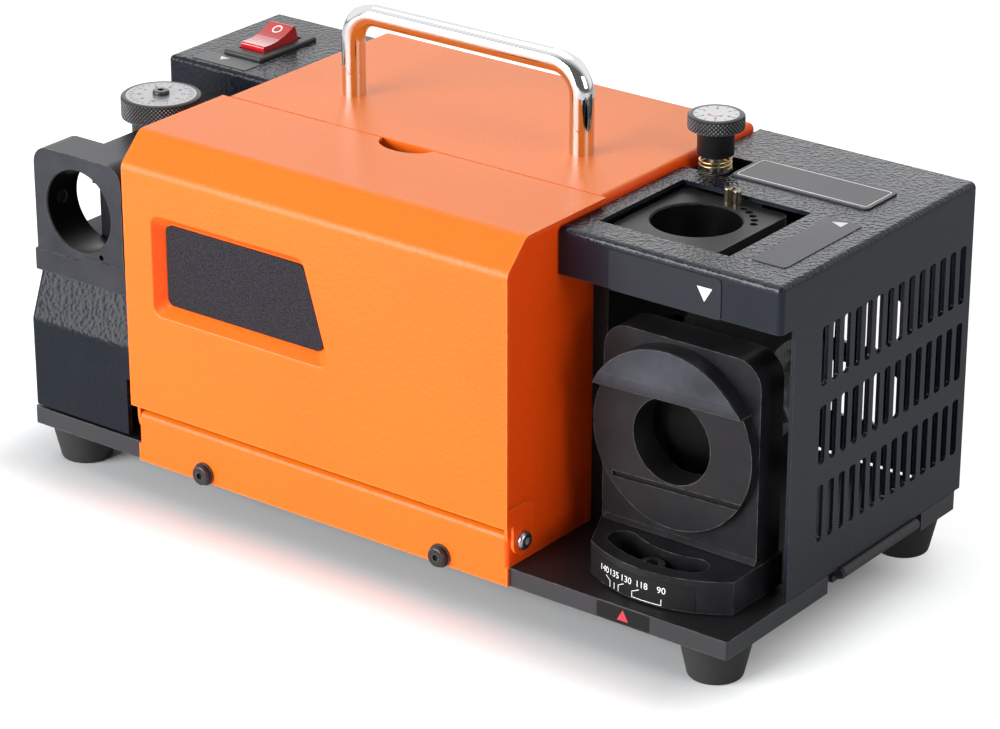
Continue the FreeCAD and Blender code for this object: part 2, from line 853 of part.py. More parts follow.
def switch_frame():
    """Rocker switch case: rim on the panel, well for the rocker, terminal block below."""
    xs = (switch_x - switch_width / 2, switch_x + switch_width / 2)
    ys = (switch_y - switch_length / 2, switch_y + switch_length / 2)
    top = housing_height + switch_rim
    rim = box(xs, ys, (housing_height, top))
    rim = soften(rim, 1.5, *[dict(run="z", x=x, y=y) for x in xs for y in ys])
    rim = rim.makeFillet(0.9, [e for e in rim.Edges
                               if abs(e.BoundBox.ZMin - top) < 1e-4])
    case = box((xs[0] + 1.6, xs[1] - 1.6), (ys[0] + 2, ys[1] - 2),
               (housing_height - switch_depth, housing_height))
    room = rocker_length / 2 + 2.4
    well = box((switch_x - rocker_width / 2 - slip, switch_x + rocker_width / 2 + slip),
               (switch_y - room, switch_y + room),
               (housing_height - switch_depth + 6, top + 1))
    tabs = [box((switch_x - 3, switch_x + 3), (switch_y + y - 0.4, switch_y + y + 0.4),
                (housing_height - switch_depth - 8, housing_height - switch_depth))
            for y in (-9, 0, 9)]
    y, z = rocker_pivot()
    reach = rocker_width / 2 + rocker_pin_reach + slip
    pivot = rod((switch_x - reach, y, z), ALONG_X, rocker_pin + 2 * fit, 2 * reach)
    return join(rim, case, *tabs).cut([well, pivot])


def rocker_pivot():
    return (switch_y, housing_height - 1.0)


def switch_rocker():
    """Rocker with a hollowed top, shown with its front end pressed."""
    y, z = rocker_pivot()
    half = rocker_length / 2
    steps = 8
    crest = []
    for i in range(steps + 1):
        share = -1 + 2 * i / steps
        crest.append((y + share * half, z + rocker_rise - rocker_dip * (1 - share * share)))
    outline = crest + [(y + half + 0.8, z - 1.5), (y + half * 0.6, z - 7.5),
                       (y - half * 0.6, z - 7.5), (y - half - 0.8, z - 1.5)]
    body = prism("x", outline, (switch_x - rocker_width / 2, switch_x + rocker_width / 2))
    ends = [dict(run="x", y=crest[0][0], z=crest[0][1]),
            dict(run="x", y=crest[-1][0], z=crest[-1][1])]
    body = soften(body, 0.8, *ends)
    reach = rocker_width / 2 + rocker_pin_reach
    body = join(body, rod((switch_x - reach, y, z), ALONG_X, rocker_pin, 2 * reach))
    return body.rotated(Vector(0, y, z), ALONG_X, rocker_tilt)


def cord_gland():
    """Bushing in the housing's back for the power cord."""
    wall = housing_wall
    inside = base_depth - wall
    stem = rod((gland_x, inside - 6, gland_z), ALONG_Y, gland_thread, wall + 6)
    flange = rod((gland_x, base_depth, gland_z), ALONG_Y, gland_flange, gland_stand)
    flange = soften(flange, 1.5, dict(x=gland_x, y=base_depth + gland_stand, z=gland_z))
    across = (gland_thread + 6) / math.sqrt(3)
    turns = [math.radians(60 * i) for i in range(6)]
    nut = prism("y", [(gland_x + across * math.cos(t), gland_z + across * math.sin(t))
                      for t in turns], (inside - 5, inside))
    bore = rod((gland_x, inside - 7, gland_z), ALONG_Y, gland_bore, wall + gland_stand + 9)
    return join(stem, flange, nut).cut(bore)


def setting_screw_places():
    inset = setting_screw_inset
    xs = (ledge_left + inset, ledge_left + ledge_width - inset)
    return [(x, ledge_front + setting_screw_y) for x in xs]


def setting_ledge():
    """Thick plate the setting block stands on, stepped down at its front left."""
    plate = box((ledge_left, ledge_left + ledge_width), (ledge_front, ledge_back),
                (ledge_bottom, ledge_top))
    step = box((ledge_left - 1, ledge_step_x), (ledge_front - 1, setting_back),
               (ledge_top - ledge_step, ledge_top + 1))
    plate = plate.cut(step)
    holes = [screw_hole(m4, (x, y, ledge_bottom - 1), ALONG_Z, ledge_height + 2)
             for x, y in setting_screw_places()]
    return plate.cut(holes)


def setting_block():
    """Port block with the arm that carries the web dial."""
    corners = [(setting_left, ledge_top - ledge_step), (ledge_step_x, ledge_top - ledge_step),
               (ledge_step_x, ledge_top), (setting_right, ledge_top),
               (setting_right, setting_top), (setting_left, setting_top)]
    block = prism("y", corners, (setting_front, setting_back))
    block = soften(block, setting_corner, dict(run="y", x=setting_left, z=setting_top),
                   dict(run="y", x=setting_right, z=setting_top))
    arm_bottom = setting_top - setting_arm_depth
    arm = box((setting_arm_left, setting_right), (setting_back - 1, setting_arm_back),
              (arm_bottom, setting_top))
    boss = rod((setting_x, dial_y, arm_bottom), ALONG_Z, dial_boss,
               setting_arm_depth + dial_boss_rise)
    arm = soften(arm, setting_corner, dict(run="y", x=setting_right, z=setting_top))
    body = join(block, arm, boss)
    port = rod((setting_x, setting_front - 1, setting_port_z), ALONG_Y, port_bore,
               setting_thick + 2)
    groove = box((setting_arm_left - 1, setting_right + 1),
                 (stop_front - fit * 2, stop_front + stop_thick + fit * 2),
                 (arm_bottom - 1, arm_bottom + stop_rail + slip))
    shaft = rod((setting_x, dial_y, arm_bottom - 1), ALONG_Z, dial_shaft + 2 * fit,
                setting_arm_depth + dial_boss_rise + 2)
    grub = rod((setting_left - 1, (setting_front + setting_back) / 2, setting_port_z), ALONG_X,
               m5[0] + 2 * screw_fit, setting_wall + 4)
    gauge = rod((setting_x + pin_hole_offset, setting_front - 1, ledge_top + pin_hole / 2 + 0.5), ALONG_Y,
                pin_hole, 7)
    holes = [screw_hole(m4, (x, y, ledge_bottom), ALONG_Z, ledge_height + setting_screw_reach + 1)
             for x, y in setting_screw_places()]
    body = body.cut([port, groove, shaft, grub, gauge] + holes)
    rims = [e for e in body.Edges if abs(e.BoundBox.XLength - port_bore) < 1e-2
            and e.BoundBox.YLength < 1e-4]
    return body.makeChamfer(0.5, rims)


def setting_screws():
    """Screws from inside the housing up through the ledge into the block."""
    seat = housing_low_height - housing_wall
    length = housing_wall + ledge_height + setting_screw_reach
    return group([stand(screw(m4, length), (x, y, seat), -ALONG_Z)
                  for x, y in setting_screw_places()])


def setting_grub():
    """Headless screw in the left wall of the port."""
    length = setting_wall - 0.8
    body = Part.makeCylinder(m5[0] / 2, length)
    across = m5[3] / math.sqrt(3)
    turns = [math.radians(60 * i) for i in range(6)]
    socket = prism("z", [(across * math.cos(t), across * math.sin(t)) for t in turns],
                   (-1, length * 0.5))
    middle = (setting_front + setting_back) / 2
    return stand(body.cut(socket), (setting_left + 0.2, middle, setting_port_z), ALONG_X)


def web_stop():
    """Blade behind the port that the drill tip is set against, hung in the arm."""
    arm_bottom = setting_top - setting_arm_depth
    back = stop_front + stop_thick
    blade = box((stop_left, stop_left + stop_width), (stop_front, back),
                (ledge_top + slip * 2, arm_bottom + stop_rail))
    reach = dial_y + cam_diameter / 2 + stop_travel + 3
    half = cam_diameter / 2 + stop_travel + 3
    tongue = box((setting_x - half, setting_x + half), (back - 1, reach),
                 (arm_bottom - slip - cam_height - 1, arm_bottom - slip * 2))
    room = cam_diameter + 2 * stop_travel + 1.0
    hole = rod((setting_x, dial_y, arm_bottom - 20), ALONG_Z, room, 25)
    return join(blade, tongue).cut(hole)


def web_dial():
    """Round knob of the web setting, hollowed on top for its scale."""
    body = rod((setting_x, dial_y, dial_bottom), ALONG_Z, dial_rim, dial_height)
    rims = [dict(x=setting_x, y=dial_y, z=z) for z in (dial_bottom, dial_top)]
    body = soften(body, 0.6, *rims)
    recess = rod((setting_x, dial_y, dial_top - scale_thickness), ALONG_Z,
                 dial_scale + 2 * screw_fit, 2)
    bore = rod((setting_x, dial_y, dial_bottom - 1), ALONG_Z, dial_shaft + 2 * fit,
               dial_height / 2 + 1)
    hole = screw_hole(m4_small, (setting_x, dial_y, dial_bottom), ALONG_Z, dial_height + 1)
    return body.cut([recess, bore, hole])


def dial_scale_disc():
    base = (setting_x, dial_y, dial_top - scale_thickness)
    disc = rod(base, ALONG_Z, dial_scale, scale_thickness)
    return disc.cut(screw_hole(m4_small, (setting_x, dial_y, dial_top - 2), ALONG_Z, 3))


def dial_screw():
    return stand(screw(m4_small, dial_height / 2 + 10), (setting_x, dial_y, dial_top), ALONG_Z)


def dial_shaft_pin():
    """Shaft under the dial with the cam disc that drives the stop."""
    arm_bottom = setting_top - setting_arm_depth
    top = dial_bottom + dial_height / 2
    shaft = rod((setting_x, dial_y, arm_bottom - slip - cam_height), ALONG_Z, dial_shaft,
                top - arm_bottom + slip + cam_height)
    cam = rod((setting_x, dial_y, arm_bottom - slip - cam_height), ALONG_Z, cam_diameter,
              cam_height)
    hole = rod((setting_x, dial_y, top - 12), ALONG_Z, m4_small[0] + 2 * screw_fit, 13)
    return join(shaft, cam).cut(hole)


def wheel_bracket():
    """Upright plate beside the hood that carries the splitting station."""
    plate = box((bracket_left, bracket_right), (bracket_front, bracket_back),
                (0, bracket_height))
    foot = box((bracket_left, bracket_right + bracket_flange),
               (bracket_front + 18, bracket_back), (0, 6))
    shelf = box((bracket_left, bracket_left + shelf_reach), (shelf_front, shelf_back),
                (bracket_height - shelf_thick, bracket_height))
    fin_x = (bracket_left, bracket_left + fin_thick)
    arm_front = shelf_front - split_corner - 2
    front_fin = box(fin_x, (bracket_front, arm_front - carriage_gap),
                    (bracket_height - 1, fin_top))
    rear_fin = box(fin_x, (shelf_back + carriage_gap, fin_back),
                   (bracket_height - shelf_thick, fin_top))
    body = join(plate, foot, shelf, front_fin, rear_fin)
    cuts = [rod((bracket_left - 1, spindle_y, spindle_height), ALONG_X, shaft_hole,
                bracket_thick + 2)]
    cuts += [screw_hole(m4, (x, y, -1), ALONG_Z, 8) for x, y in bracket_places()]
    cuts.append(rod((knob_x, knob_y, bracket_height - shelf_thick - 1), ALONG_Z,
                    stud_diameter + 2 * fit, shelf_thick + 2))
    for x, y in guide_places():
        cuts.append(rod((x, y, bracket_height - shelf_thick + 2), ALONG_Z,
                        guide_pin + 2 * fit, shelf_thick))
    return body.cut(cuts)


def bracket_screws():
    return group([stand(screw(m4, base_thickness + 5), (x, y, 6), ALONG_Z)
                  for x, y in bracket_places()])


def guide_places():
    first = guard_left + guide_pin_first
    return [(first + i * guide_pin_pitch, guide_pin_y) for i in range(2)]


def guide_pins():
    """Dowels in the bracket shelf that the splitting block slides on."""
    bottom = bracket_height - shelf_thick + 2
    return group([rod((x, y, bottom), ALONG_Z, guide_pin, shelf_thick - 2 + guide_pin_stand)
                  for x, y in guide_places()])


def index_place(turn):
    angle = math.radians(turn)
    return (split_x + index_radius * math.cos(angle), split_y + index_radius * math.sin(angle))


def index_pin_places():
    first = index_first + index_holes * index_step
    return [index_place(first + i * index_step) for i in range(index_pins_count)]


def splitting_block():
    """Port block of the splitting station with the arm back to its adjusting screw."""
    body = box((split_x - split_left, split_x + split_right), (split_front, shelf_front),
               (split_bottom, split_top))
    body = soften(body, split_corner,
                  *[dict(run="z", x=x, y=y) for x in (split_x - split_left,
                                                      split_x + split_right)
                    for y in (split_front, shelf_front)])
    arm = box((bracket_left + 0.5, bracket_left + shelf_reach),
              (shelf_front - split_corner - 2, shelf_back), (split_bottom, split_arm_top))
    boss = rod((knob_x, knob_y, split_arm_top - 1), ALONG_Z, knob_boss,
               knob_boss_top - split_arm_top + 1)
    body = join(body, arm, boss)
    cuts = [rod((split_x, split_y, split_bottom - 1), ALONG_Z, port_bore,
                split_top - split_bottom + 2)]
    for i in range(index_holes):
        x, y = index_place(index_first + i * index_step)
        cuts.append(rod((x, y, split_top - index_depth), ALONG_Z, index_hole, index_depth + 1))
    for x, y in index_pin_places():
        cuts.append(rod((x, y, split_top - index_depth), ALONG_Z,
                        index_hole + 2 * fit, index_depth + 1))
    cuts.append(rod((knob_x, knob_y, split_bottom - 1), ALONG_Z, stud_diameter + 2 * fit,
                    knob_boss_top - split_bottom + 2))
    for x, y in guide_places():
        cuts.append(rod((x, y, split_bottom - 1), ALONG_Z, guide_pin + 2 * fit,
                        guide_hole_depth + 1))
    body = body.cut(cuts)
    rims = [e for e in body.Edges if abs(e.BoundBox.XLength - port_bore) < 1e-2
            and abs(e.BoundBox.ZMin - split_top) < 1e-4]
    return body.makeChamfer(0.6, rims)


def index_pins():
    """Two short pins beside the splitting port."""
    pins = []
    for x, y in index_pin_places():
        top = split_top + index_pin_stand
        pin = rod((x, y, split_top - index_depth), ALONG_Z, index_hole,
                  index_depth + index_pin_stand)
        pins.append(soften(pin, 0.5, dict(x=x, y=y, z=top)))
    return group(pins)


def splitting_knob():
    """Adjusting knob: neck and wide rim, hollowed on top for its scale."""
    neck = rod((knob_x, knob_y, knob_neck_base), ALONG_Z, knob_neck, knob_neck_height)
    rim = rod((knob_x, knob_y, knob_rim_base), ALONG_Z, knob_rim, knob_rim_height)
    rim = soften(rim, 0.5, *[dict(x=knob_x, y=knob_y, z=z) for z in (knob_rim_base, knob_top)])
    recess = rod((knob_x, knob_y, knob_top - scale_thickness), ALONG_Z,
                 knob_scale + 2 * screw_fit, 2)
    bore = rod((knob_x, knob_y, knob_neck_base - 1), ALONG_Z, stud_diameter + 2 * fit,
               knob_neck_height + 2)
    return join(neck, rim).cut([recess, bore])


def knob_scale_disc():
    return rod((knob_x, knob_y, knob_top - scale_thickness), ALONG_Z, knob_scale,
               scale_thickness)


def knob_stud():
    """Threaded stud of the knob, down through the arm into the bracket shelf."""
    bottom = bracket_height - shelf_thick + 1
    return rod((knob_x, knob_y, bottom), ALONG_Z, stud_diameter,
               knob_neck_base + knob_neck_height - bottom)


def coil_point(turn):
    """Point and direction on the spring's helix after a number of turns."""
    radius = spring_mean / 2
    angle = 2 * math.pi * turn
    rise = spring_pitch / (2 * math.pi)
    point = Vector(knob_x + radius * math.cos(angle), knob_y + radius * math.sin(angle),
                   knob_boss_top + spring_wire / 2 + slip + spring_pitch * turn)
    way = Vector(-radius * math.sin(angle), radius * math.cos(angle), rise)
    way.normalize()
    return point, way


def tangent_arc(start, way, end):
    """Arc that leaves start along a direction and reaches end."""
    chord = end - start
    side = chord - way * chord.dot(way)
    side.normalize()
    radius = chord.dot(chord) / (2 * chord.dot(side))
    centre = start + side * radius
    spoke = (start + end) * 0.5 - centre
    spoke.normalize()
    return Part.Arc(start, centre + spoke * radius, end).toShape()


def knob_spring():
    """Wound wire between the boss and the knob's neck: a helix with straight ends."""
    room = knob_neck_base - knob_boss_top - spring_wire - 2 * slip
    turns = math.floor(room / spring_pitch * 4) / 4
    quarters = int(round(turns * 4))
    edges = []
    first, first_way = coil_point(0)
    lead = first - first_way * spring_wire
    edges.append(Part.makeLine(lead, first))
    for i in range(quarters):
        p0, w0 = coil_point(i / 4)
        p1, w1 = coil_point((i + 1) / 4)
        span = p1 - p0
        both = w0 + w1
        a = both.dot(both) - 4
        b = -2 * span.dot(both)
        c = span.dot(span)
        reach = (-b - math.sqrt(b * b - 4 * a * c)) / (2 * a)
        middle = ((p0 + w0 * reach) + (p1 - w1 * reach)) * 0.5
        way = (p1 - w1 * reach) - (p0 + w0 * reach)
        way.normalize()
        edges.append(tangent_arc(p0, w0, middle))
        edges.append(tangent_arc(middle, way, p1))
    last, last_way = coil_point(quarters / 4)
    edges.append(Part.makeLine(last, last + last_way * spring_wire))
    path = Part.Wire(edges)
    ring = Part.Wire(Part.makeCircle(spring_wire / 2, lead, first_way))
    coil = path.makePipeShell([ring], True, False)
    points = [coil_point(i / 64)[0] for i in range(quarters * 16 + 1)]
    near = min((p - q).Length for i, p in enumerate(points) for q in points[i + 32:])
    print("spring gap to itself", round(near - spring_wire, 3), "mm over", turns, "turns")
    return coil


def ring_sector(radius, width, start, end, zs):
    """Curved slot about the swivel pivot with round ends."""
    height = zs[1] - zs[0]
    foot = Vector(swivel_x, swivel_y, zs[0])
    outer = Part.makeCylinder(radius + width / 2, height, foot, ALONG_Z, end - start)
    inner = Part.makeCylinder(radius - width / 2, height, foot, ALONG_Z, 360)
    sector = outer.cut(inner)
    sector.rotate(foot, ALONG_Z, start)
    ends = []
    for turn in (start, end):
        angle = math.radians(turn)
        ends.append(rod((swivel_x + radius * math.cos(angle),
                         swivel_y + radius * math.sin(angle), zs[0]), ALONG_Z, width, height))
    return sector.fuse(ends)


def swivel_bracket():
    """Angle bracket of the point station: arc base with a slot, upright with a rim."""
    left = swivel_x - swivel_left_reach
    right = swivel_x + swivel_right_reach
    back = upright_front + upright_depth
    outline = [(swivel_x - arc_left_reach, 0), (right, 0), (right, back - 15), (right, back),
               (left, back), (left, upright_front), (swivel_x - arc_left_reach, 11.5)]
    zs = (swivel_lift, arc_height)
    sole = prism("z", outline, zs)
    sole = sole.common(rod((swivel_x, swivel_y, 0), ALONG_Z, 2 * arc_radius, arc_height))
    tongue = box((swivel_x - pivot_pin, swivel_x + pivot_pin), (back - 1, swivel_y), zs)
    lobe = rod((swivel_x, swivel_y, swivel_lift), ALONG_Z, 2 * pivot_pin,
               arc_height - swivel_lift)
    side = (left, right - upright_right_inset)
    wall = box(side, (upright_front, back), (swivel_lift, upright_top))
    wall = soften(wall, upright_corner, *[dict(run="y", x=x, z=upright_top) for x in side])
    pocket = box((side[0] + upright_rib, side[1] - upright_rib),
                 (upright_front + upright_web, back + 1),
                 (arc_height, upright_top - upright_rib))
    pocket = soften(pocket, upright_corner - upright_rib,
                    *[dict(run="y", x=x, z=upright_top - upright_rib)
                      for x in (side[0] + upright_rib, side[1] - upright_rib)])
    root = prism("x", [(upright_front - root_bevel, arc_height),
                       (upright_front, arc_height + root_bevel),
                       (upright_front + 1, arc_height + root_bevel),
                       (upright_front + 1, arc_height - 1),
                       (upright_front - root_bevel, arc_height - 1)],
                 (side[0] + root_bevel, side[1]))
    body = join(sole, tongue, lobe, wall.cut(pocket), root)
    cuts = [
        ring_sector(slot_radius, slot_width, slot_start, slot_end, (slot_floor, arc_height + 1)),
        ring_sector(slot_radius, slot_lower_width, slot_start, slot_end, (-1, slot_floor)),
        rod((swivel_x, swivel_y, -1), ALONG_Z, pivot_pin + 2 * fit, arc_height + 2),
        rod((bush_x, upright_front - 1, bush_height), ALONG_Y, bush_spigot + 2 * fit,
            upright_web + 2),
    ]
    for x, z in bush_screw_places():
        cuts.append(screw_hole(m3, (x, upright_front - 1, z), ALONG_Y, upright_web + 2))
    return body.cut(cuts)


def bush_screw_places():
    reach = (bush_spigot + disc_diameter) / 4
    turns = [math.radians(t) for t in (45, 135, 225, 315)]
    return [(bush_x + reach * math.cos(t), bush_height + reach * math.sin(t))
            for t in turns]


def guide_bush():
    """Round face of the point station: bored disc with a proud upper part and a groove."""
    disc = rod((bush_x, disc_front, bush_height), ALONG_Y, disc_diameter, disc_thick)
    chord = bush_height + nose_chord
    above = prism("x", [(disc_front + 1, chord), (disc_nose + nose_bevel_depth, chord),
                        (disc_nose, chord + nose_bevel),
                        (disc_nose, bush_height + nose_diameter),
                        (upright_front, bush_height + nose_diameter), (upright_front, chord)],
                  (bush_x - nose_diameter, bush_x + nose_diameter))
    nose = rod((bush_x, disc_nose, bush_height), ALONG_Y, nose_diameter,
               nose_step + disc_thick).common(above)
    spigot = rod((bush_x, upright_front - 1, bush_height), ALONG_Y, bush_spigot,
                 bush_spigot_length + 1)
    low = bush_height - port_bore / 2 - disc_groove_gap
    groove = box((bush_x - disc_diameter * 0.38, bush_x + disc_diameter),
                 (disc_front - 1, disc_front + disc_groove_depth), (low - disc_groove, low))
    for piece in (nose, groove):
        piece.rotate(Vector(bush_x, 0, bush_height), ALONG_Y, -nose_turn)
    body = join(disc, nose, spigot)
    bore = rod((bush_x, disc_nose - 1, bush_height), ALONG_Y, port_bore,
               nose_step + disc_thick + bush_spigot_length + 2)
    holes = [screw_hole(m3, (x, upright_front + 1, z), -ALONG_Y, bush_bite + 1.4)
             for x, z in bush_screw_places()]
    return body.cut([groove, bore] + holes)


def bush_screws():
    """Screws from behind the upright into the disc."""
    seat = upright_front + upright_web
    return group([stand(screw(m3, upright_web + bush_bite, 0.5), (x, seat, z), ALONG_Y)
                  for x, z in bush_screw_places()])


def swivel_pin():
    """Pivot of the point station, fixed in the base, with its thrust washer."""
    pin = rod((swivel_x, swivel_y, -base_thickness), ALONG_Z, pivot_pin,
              base_thickness + arc_height - 1)
    ring = rod((swivel_x, swivel_y, 0), ALONG_Z, 2 * pivot_pin, swivel_lift)
    return join(pin, ring)


def clamp_screw():
    """Cap screw that locks the swivel through its curved slot."""
    x, y = clamp_place()
    seat = slot_floor + slip
    return stand(screw(m6, seat + base_thickness - 1, 0.6), (x, y, seat), ALONG_Z)


def spindle_shaft():
    left = hood_left + motor_left - bell_length - fan_width - 8
    right = wheel_left + wheel_width + flange_thick + nut_height + 2
    shaft = rod((left, spindle_y, spindle_height), ALONG_X, shaft_diameter, right - left)
    return shaft.makeChamfer(1.0, [e for e in shaft.Edges
                                   if lies(e, x=left) or lies(e, x=right)])


def shaft_bore(xs, gap=fit):
    """Hole on the spindle axis between two limits."""
    return rod((xs[0], spindle_y, spindle_height), ALONG_X, shaft_diameter + 2 * gap,
               xs[1] - xs[0])


def grinding_wheel():
    """Bevelled abrasive ring on its steel core."""
    edge = wheel_left + wheel_land
    right = wheel_left + wheel_width
    small = wheel_radius - wheel_slope * (right - edge)
    axis = Vector(wheel_left, spindle_y, spindle_height)
    land = Part.makeCylinder(wheel_radius, wheel_land, axis, ALONG_X)
    bevel = Part.makeCone(wheel_radius, small, right - edge,
                          Vector(edge, spindle_y, spindle_height), ALONG_X)
    bore = rod((wheel_left - 1, spindle_y, spindle_height), ALONG_X,
               wheel_core_diameter + 2 * fit, wheel_width + 2)
    return join(land, bevel).cut(bore)


def wheel_core():
    xs = (wheel_left, wheel_left + wheel_width)
    core = rod((xs[0], spindle_y, spindle_height), ALONG_X, wheel_core_diameter, wheel_width)
    recess = rod((xs[1] - wheel_recess, spindle_y, spindle_height), ALONG_X,
                 flange_diameter + 2, wheel_recess + 1)
    return core.cut([shaft_bore((xs[0] - 1, xs[1] + 1)), recess])


def wheel_collar():
    """Shoulder ring that locates the wheel on the shaft."""
    start = wheel_left - flange_thick
    ring = rod((start, spindle_y, spindle_height), ALONG_X, flange_diameter, flange_thick)
    return ring.cut(shaft_bore((start - 1, wheel_left + 1)))


def wheel_nut():
    """Hexagon nut and flange that clamp the wheel."""
    start = wheel_left + wheel_width - wheel_recess
    flange = rod((start, spindle_y, spindle_height), ALONG_X, flange_diameter, flange_thick)
    across = nut_flats / math.sqrt(3)
    turns = [math.radians(60 * i) for i in range(6)]
    nut = prism("x", [(spindle_y + across * math.cos(t), spindle_height + across * math.sin(t))
                      for t in turns],
                (start + flange_thick, start + flange_thick + nut_height))
    return join(flange, nut).cut(shaft_bore((start - 1, start + 20)))


def motor_span():
    left = hood_left + motor_left
    return (left, left + motor_length)


def tie_places():
    turns = [math.radians(45 + 90 * i) for i in range(4)]
    return [(spindle_y + tie_circle / 2 * math.cos(t), spindle_height + tie_circle / 2 * math.sin(t))
            for t in turns]


def motor_housing():
    """Stator barrel of the motor."""
    xs = motor_span()
    barrel = rod((xs[0], spindle_y, spindle_height), ALONG_X, motor_diameter, motor_length)
    bore = rod((xs[0], spindle_y, spindle_height), ALONG_X, stator_bore, motor_length)
    ties = [rod((xs[0], y, z), ALONG_X, tie_bolt + 2 * screw_fit, motor_length)
            for y, z in tie_places()]
    return barrel.cut([bore] + ties)


def end_bells():
    """Bearing caps at both ends of the barrel."""
    bells = []
    left, right = motor_span()
    for start, cavity, seat in ((left - bell_length, left - bell_length + 10, left - bell_length + 2),
                                (right, right, right + bell_length - 2 - bearing_width)):
        bell = rod((start, spindle_y, spindle_height), ALONG_X, motor_diameter, bell_length)
        outer_rim = start if start < left else start + bell_length
        bell = soften(bell, 5, dict(x=outer_rim, y=spindle_y, z=spindle_height))
        hollow = rod((cavity, spindle_y, spindle_height), ALONG_X, stator_bore, bell_length - 10)
        pocket_start = seat if start < left else right
        pocket = rod((pocket_start, spindle_y, spindle_height), ALONG_X,
                     bearing_outer + 2 * fit, bell_length - 2)
        hole = shaft_bore((start - 1, start + bell_length + 1), 1.0)
        ties = [rod((start - 1, y, z), ALONG_X, tie_bolt + 2 * screw_fit, bell_length + 2)
                for y, z in tie_places()]
        bells.append(bell.cut([hollow, pocket, hole] + ties))
    return group(bells)


def motor_bearings():
    rings = []
    left, right = motor_span()
    for start in (left - bell_length + 2, right + bell_length - 2 - bearing_width):
        ring = rod((start, spindle_y, spindle_height), ALONG_X, bearing_outer, bearing_width)
        rings.append(ring.cut(shaft_bore((start - 1, start + bearing_width + 1))))
    return group(rings)


def tie_bolts():
    """Long bolts through both bells and the barrel."""
    left, right = motor_span()
    bolts = []
    for y, z in tie_places():
        length = right - left + 2 * bell_length
        size = (tie_bolt, 6.5, 3.0, 3.0)
        bolts.append(stand(screw(size, length), (right + bell_length, y, z), ALONG_X))
    return group(bolts)


def motor_rotor():
    left, right = motor_span()
    xs = (left + 8, right - 8)
    rotor = rod((xs[0], spindle_y, spindle_height), ALONG_X, stator_bore - 2 * rotor_gap,
                xs[1] - xs[0])
    return rotor.cut(shaft_bore((xs[0] - 1, xs[1] + 1)))


def cooling_fan():
    """Radial fan on the free end of the shaft."""
    left = motor_span()[0] - bell_length
    start = left - fan_width - 2
    hub = rod((start, spindle_y, spindle_height), ALONG_X, 22, fan_width)
    plate = rod((start, spindle_y, spindle_height), ALONG_X, fan_diameter, 1.5)
    blades = []
    for i in range(fan_blades):
        blade = box((start, start + fan_width), (spindle_y - 0.8, spindle_y + 0.8),
                    (spindle_height + 8, spindle_height + fan_diameter / 2))
        blade.rotate(Vector(start, spindle_y, spindle_height), ALONG_X, 360 / fan_blades * i)
        blades.append(blade)
    fan = join(hub, plate, *blades)
    return fan.cut(shaft_bore((start - 1, start + fan_width + 1)))


def motor_cradle():
    """Saddle under the barrel with a foot flange on each side."""
    left, right = motor_span()
    middle = (left + right) / 2
    xs = (middle - cradle_width / 2, middle + cradle_width / 2)
    body = box(xs, (spindle_y - cradle_depth / 2, spindle_y + cradle_depth / 2), (0, cradle_rise))
    reach = cradle_depth / 2 + 2 * m4[1]
    foot = box(xs, (spindle_y - reach, spindle_y + reach), (0, 5))
    saddle = rod((xs[0] - 1, spindle_y, spindle_height), ALONG_X, motor_diameter + 2 * fit,
                 cradle_width + 2)
    holes = [screw_hole(m4, (x, y, -1), ALONG_Z, 8) for x, y in cradle_places()]
    return join(body, foot).cut([saddle] + holes)


def cradle_screws():
    return group([stand(screw(m4, base_thickness + 4), (x, y, 5), ALONG_Z)
                  for x, y in cradle_places()])


def run_capacitor():
    """Capacitor can lying in a base clip behind the motor."""
    left = sum(motor_span()) / 2 + cradle_width / 2 + 6
    y = base_depth - capacitor_diameter / 2 - 3
    z = capacitor_diameter / 2 + 2
    can = rod((left, y, z), ALONG_X, capacitor_diameter, capacitor_length)
    ends = [dict(x=x, y=y, z=z) for x in (left, left + capacitor_length)]
    can = soften(can, 2.0, *ends)
    clip = box((left + 12, left + capacitor_length - 12),
               (y - capacitor_diameter / 3, y + capacitor_diameter / 3), (0, z))
    return join(can, clip)


def wheel_guard():
    """Folded guard over the wheel: top with two openings, lip, vented side and back."""
    xs = (guard_left, guard_right)
    outer = box(xs, (guard_front, guard_back), (guard_lift, guard_height))
    outer = soften(
        outer, guard_round,
        dict(run="x", y=guard_front, z=guard_height), dict(run="y", x=guard_right, z=guard_height),
        dict(run="z", x=guard_right, y=guard_front),
    )
    inner_right = guard_right - guard_sheet
    hollow = box((guard_left - 1, inner_right),
                 (guard_front + guard_sheet, guard_back - guard_sheet),
                 (guard_lift - 1, guard_height - guard_sheet))
    mouth = box((guard_left - 1, guard_right + 1), (guard_front - 1, guard_wall_front),
                (guard_lift - 1, guard_lip_bottom))
    window = box((guard_left + window_left, guard_left + window_right),
                 (window_front, window_back), (guard_height - 5, guard_height + 1))
    notch = box((guard_left - 1, guard_left + knob_notch_reach),
                (knob_notch_front, knob_notch_back), (guard_height - 5, guard_height + 1))
    vents = []
    count = int((guard_back - vent_rear_margin - vent_first) / vent_pitch) + 1
    for low, high in vent_rows:
        for i in range(count):
            y = vent_first + i * vent_pitch
            ys = (y - vent_width / 2, y + vent_width / 2)
            vent = box((guard_right - 4, guard_right + 1), ys, (low, high))
            vents.append(soften(vent, vent_corner, *[dict(run="x", y=side, z=end)
                                                     for side in ys for end in (low, high)]))
        for i in range(rear_vent_count):
            x = guard_left + rear_vent_first + i * vent_pitch
            ends = (x - vent_width / 2, x + vent_width / 2)
            vent = box(ends, (guard_back - 4, guard_back + 1), (low, high))
            vents.append(soften(vent, vent_corner, *[dict(run="y", x=side, z=end)
                                                     for side in ends for end in (low, high)]))
    body = outer.cut([hollow, mouth])
    return body.cut([window, notch] + vents)


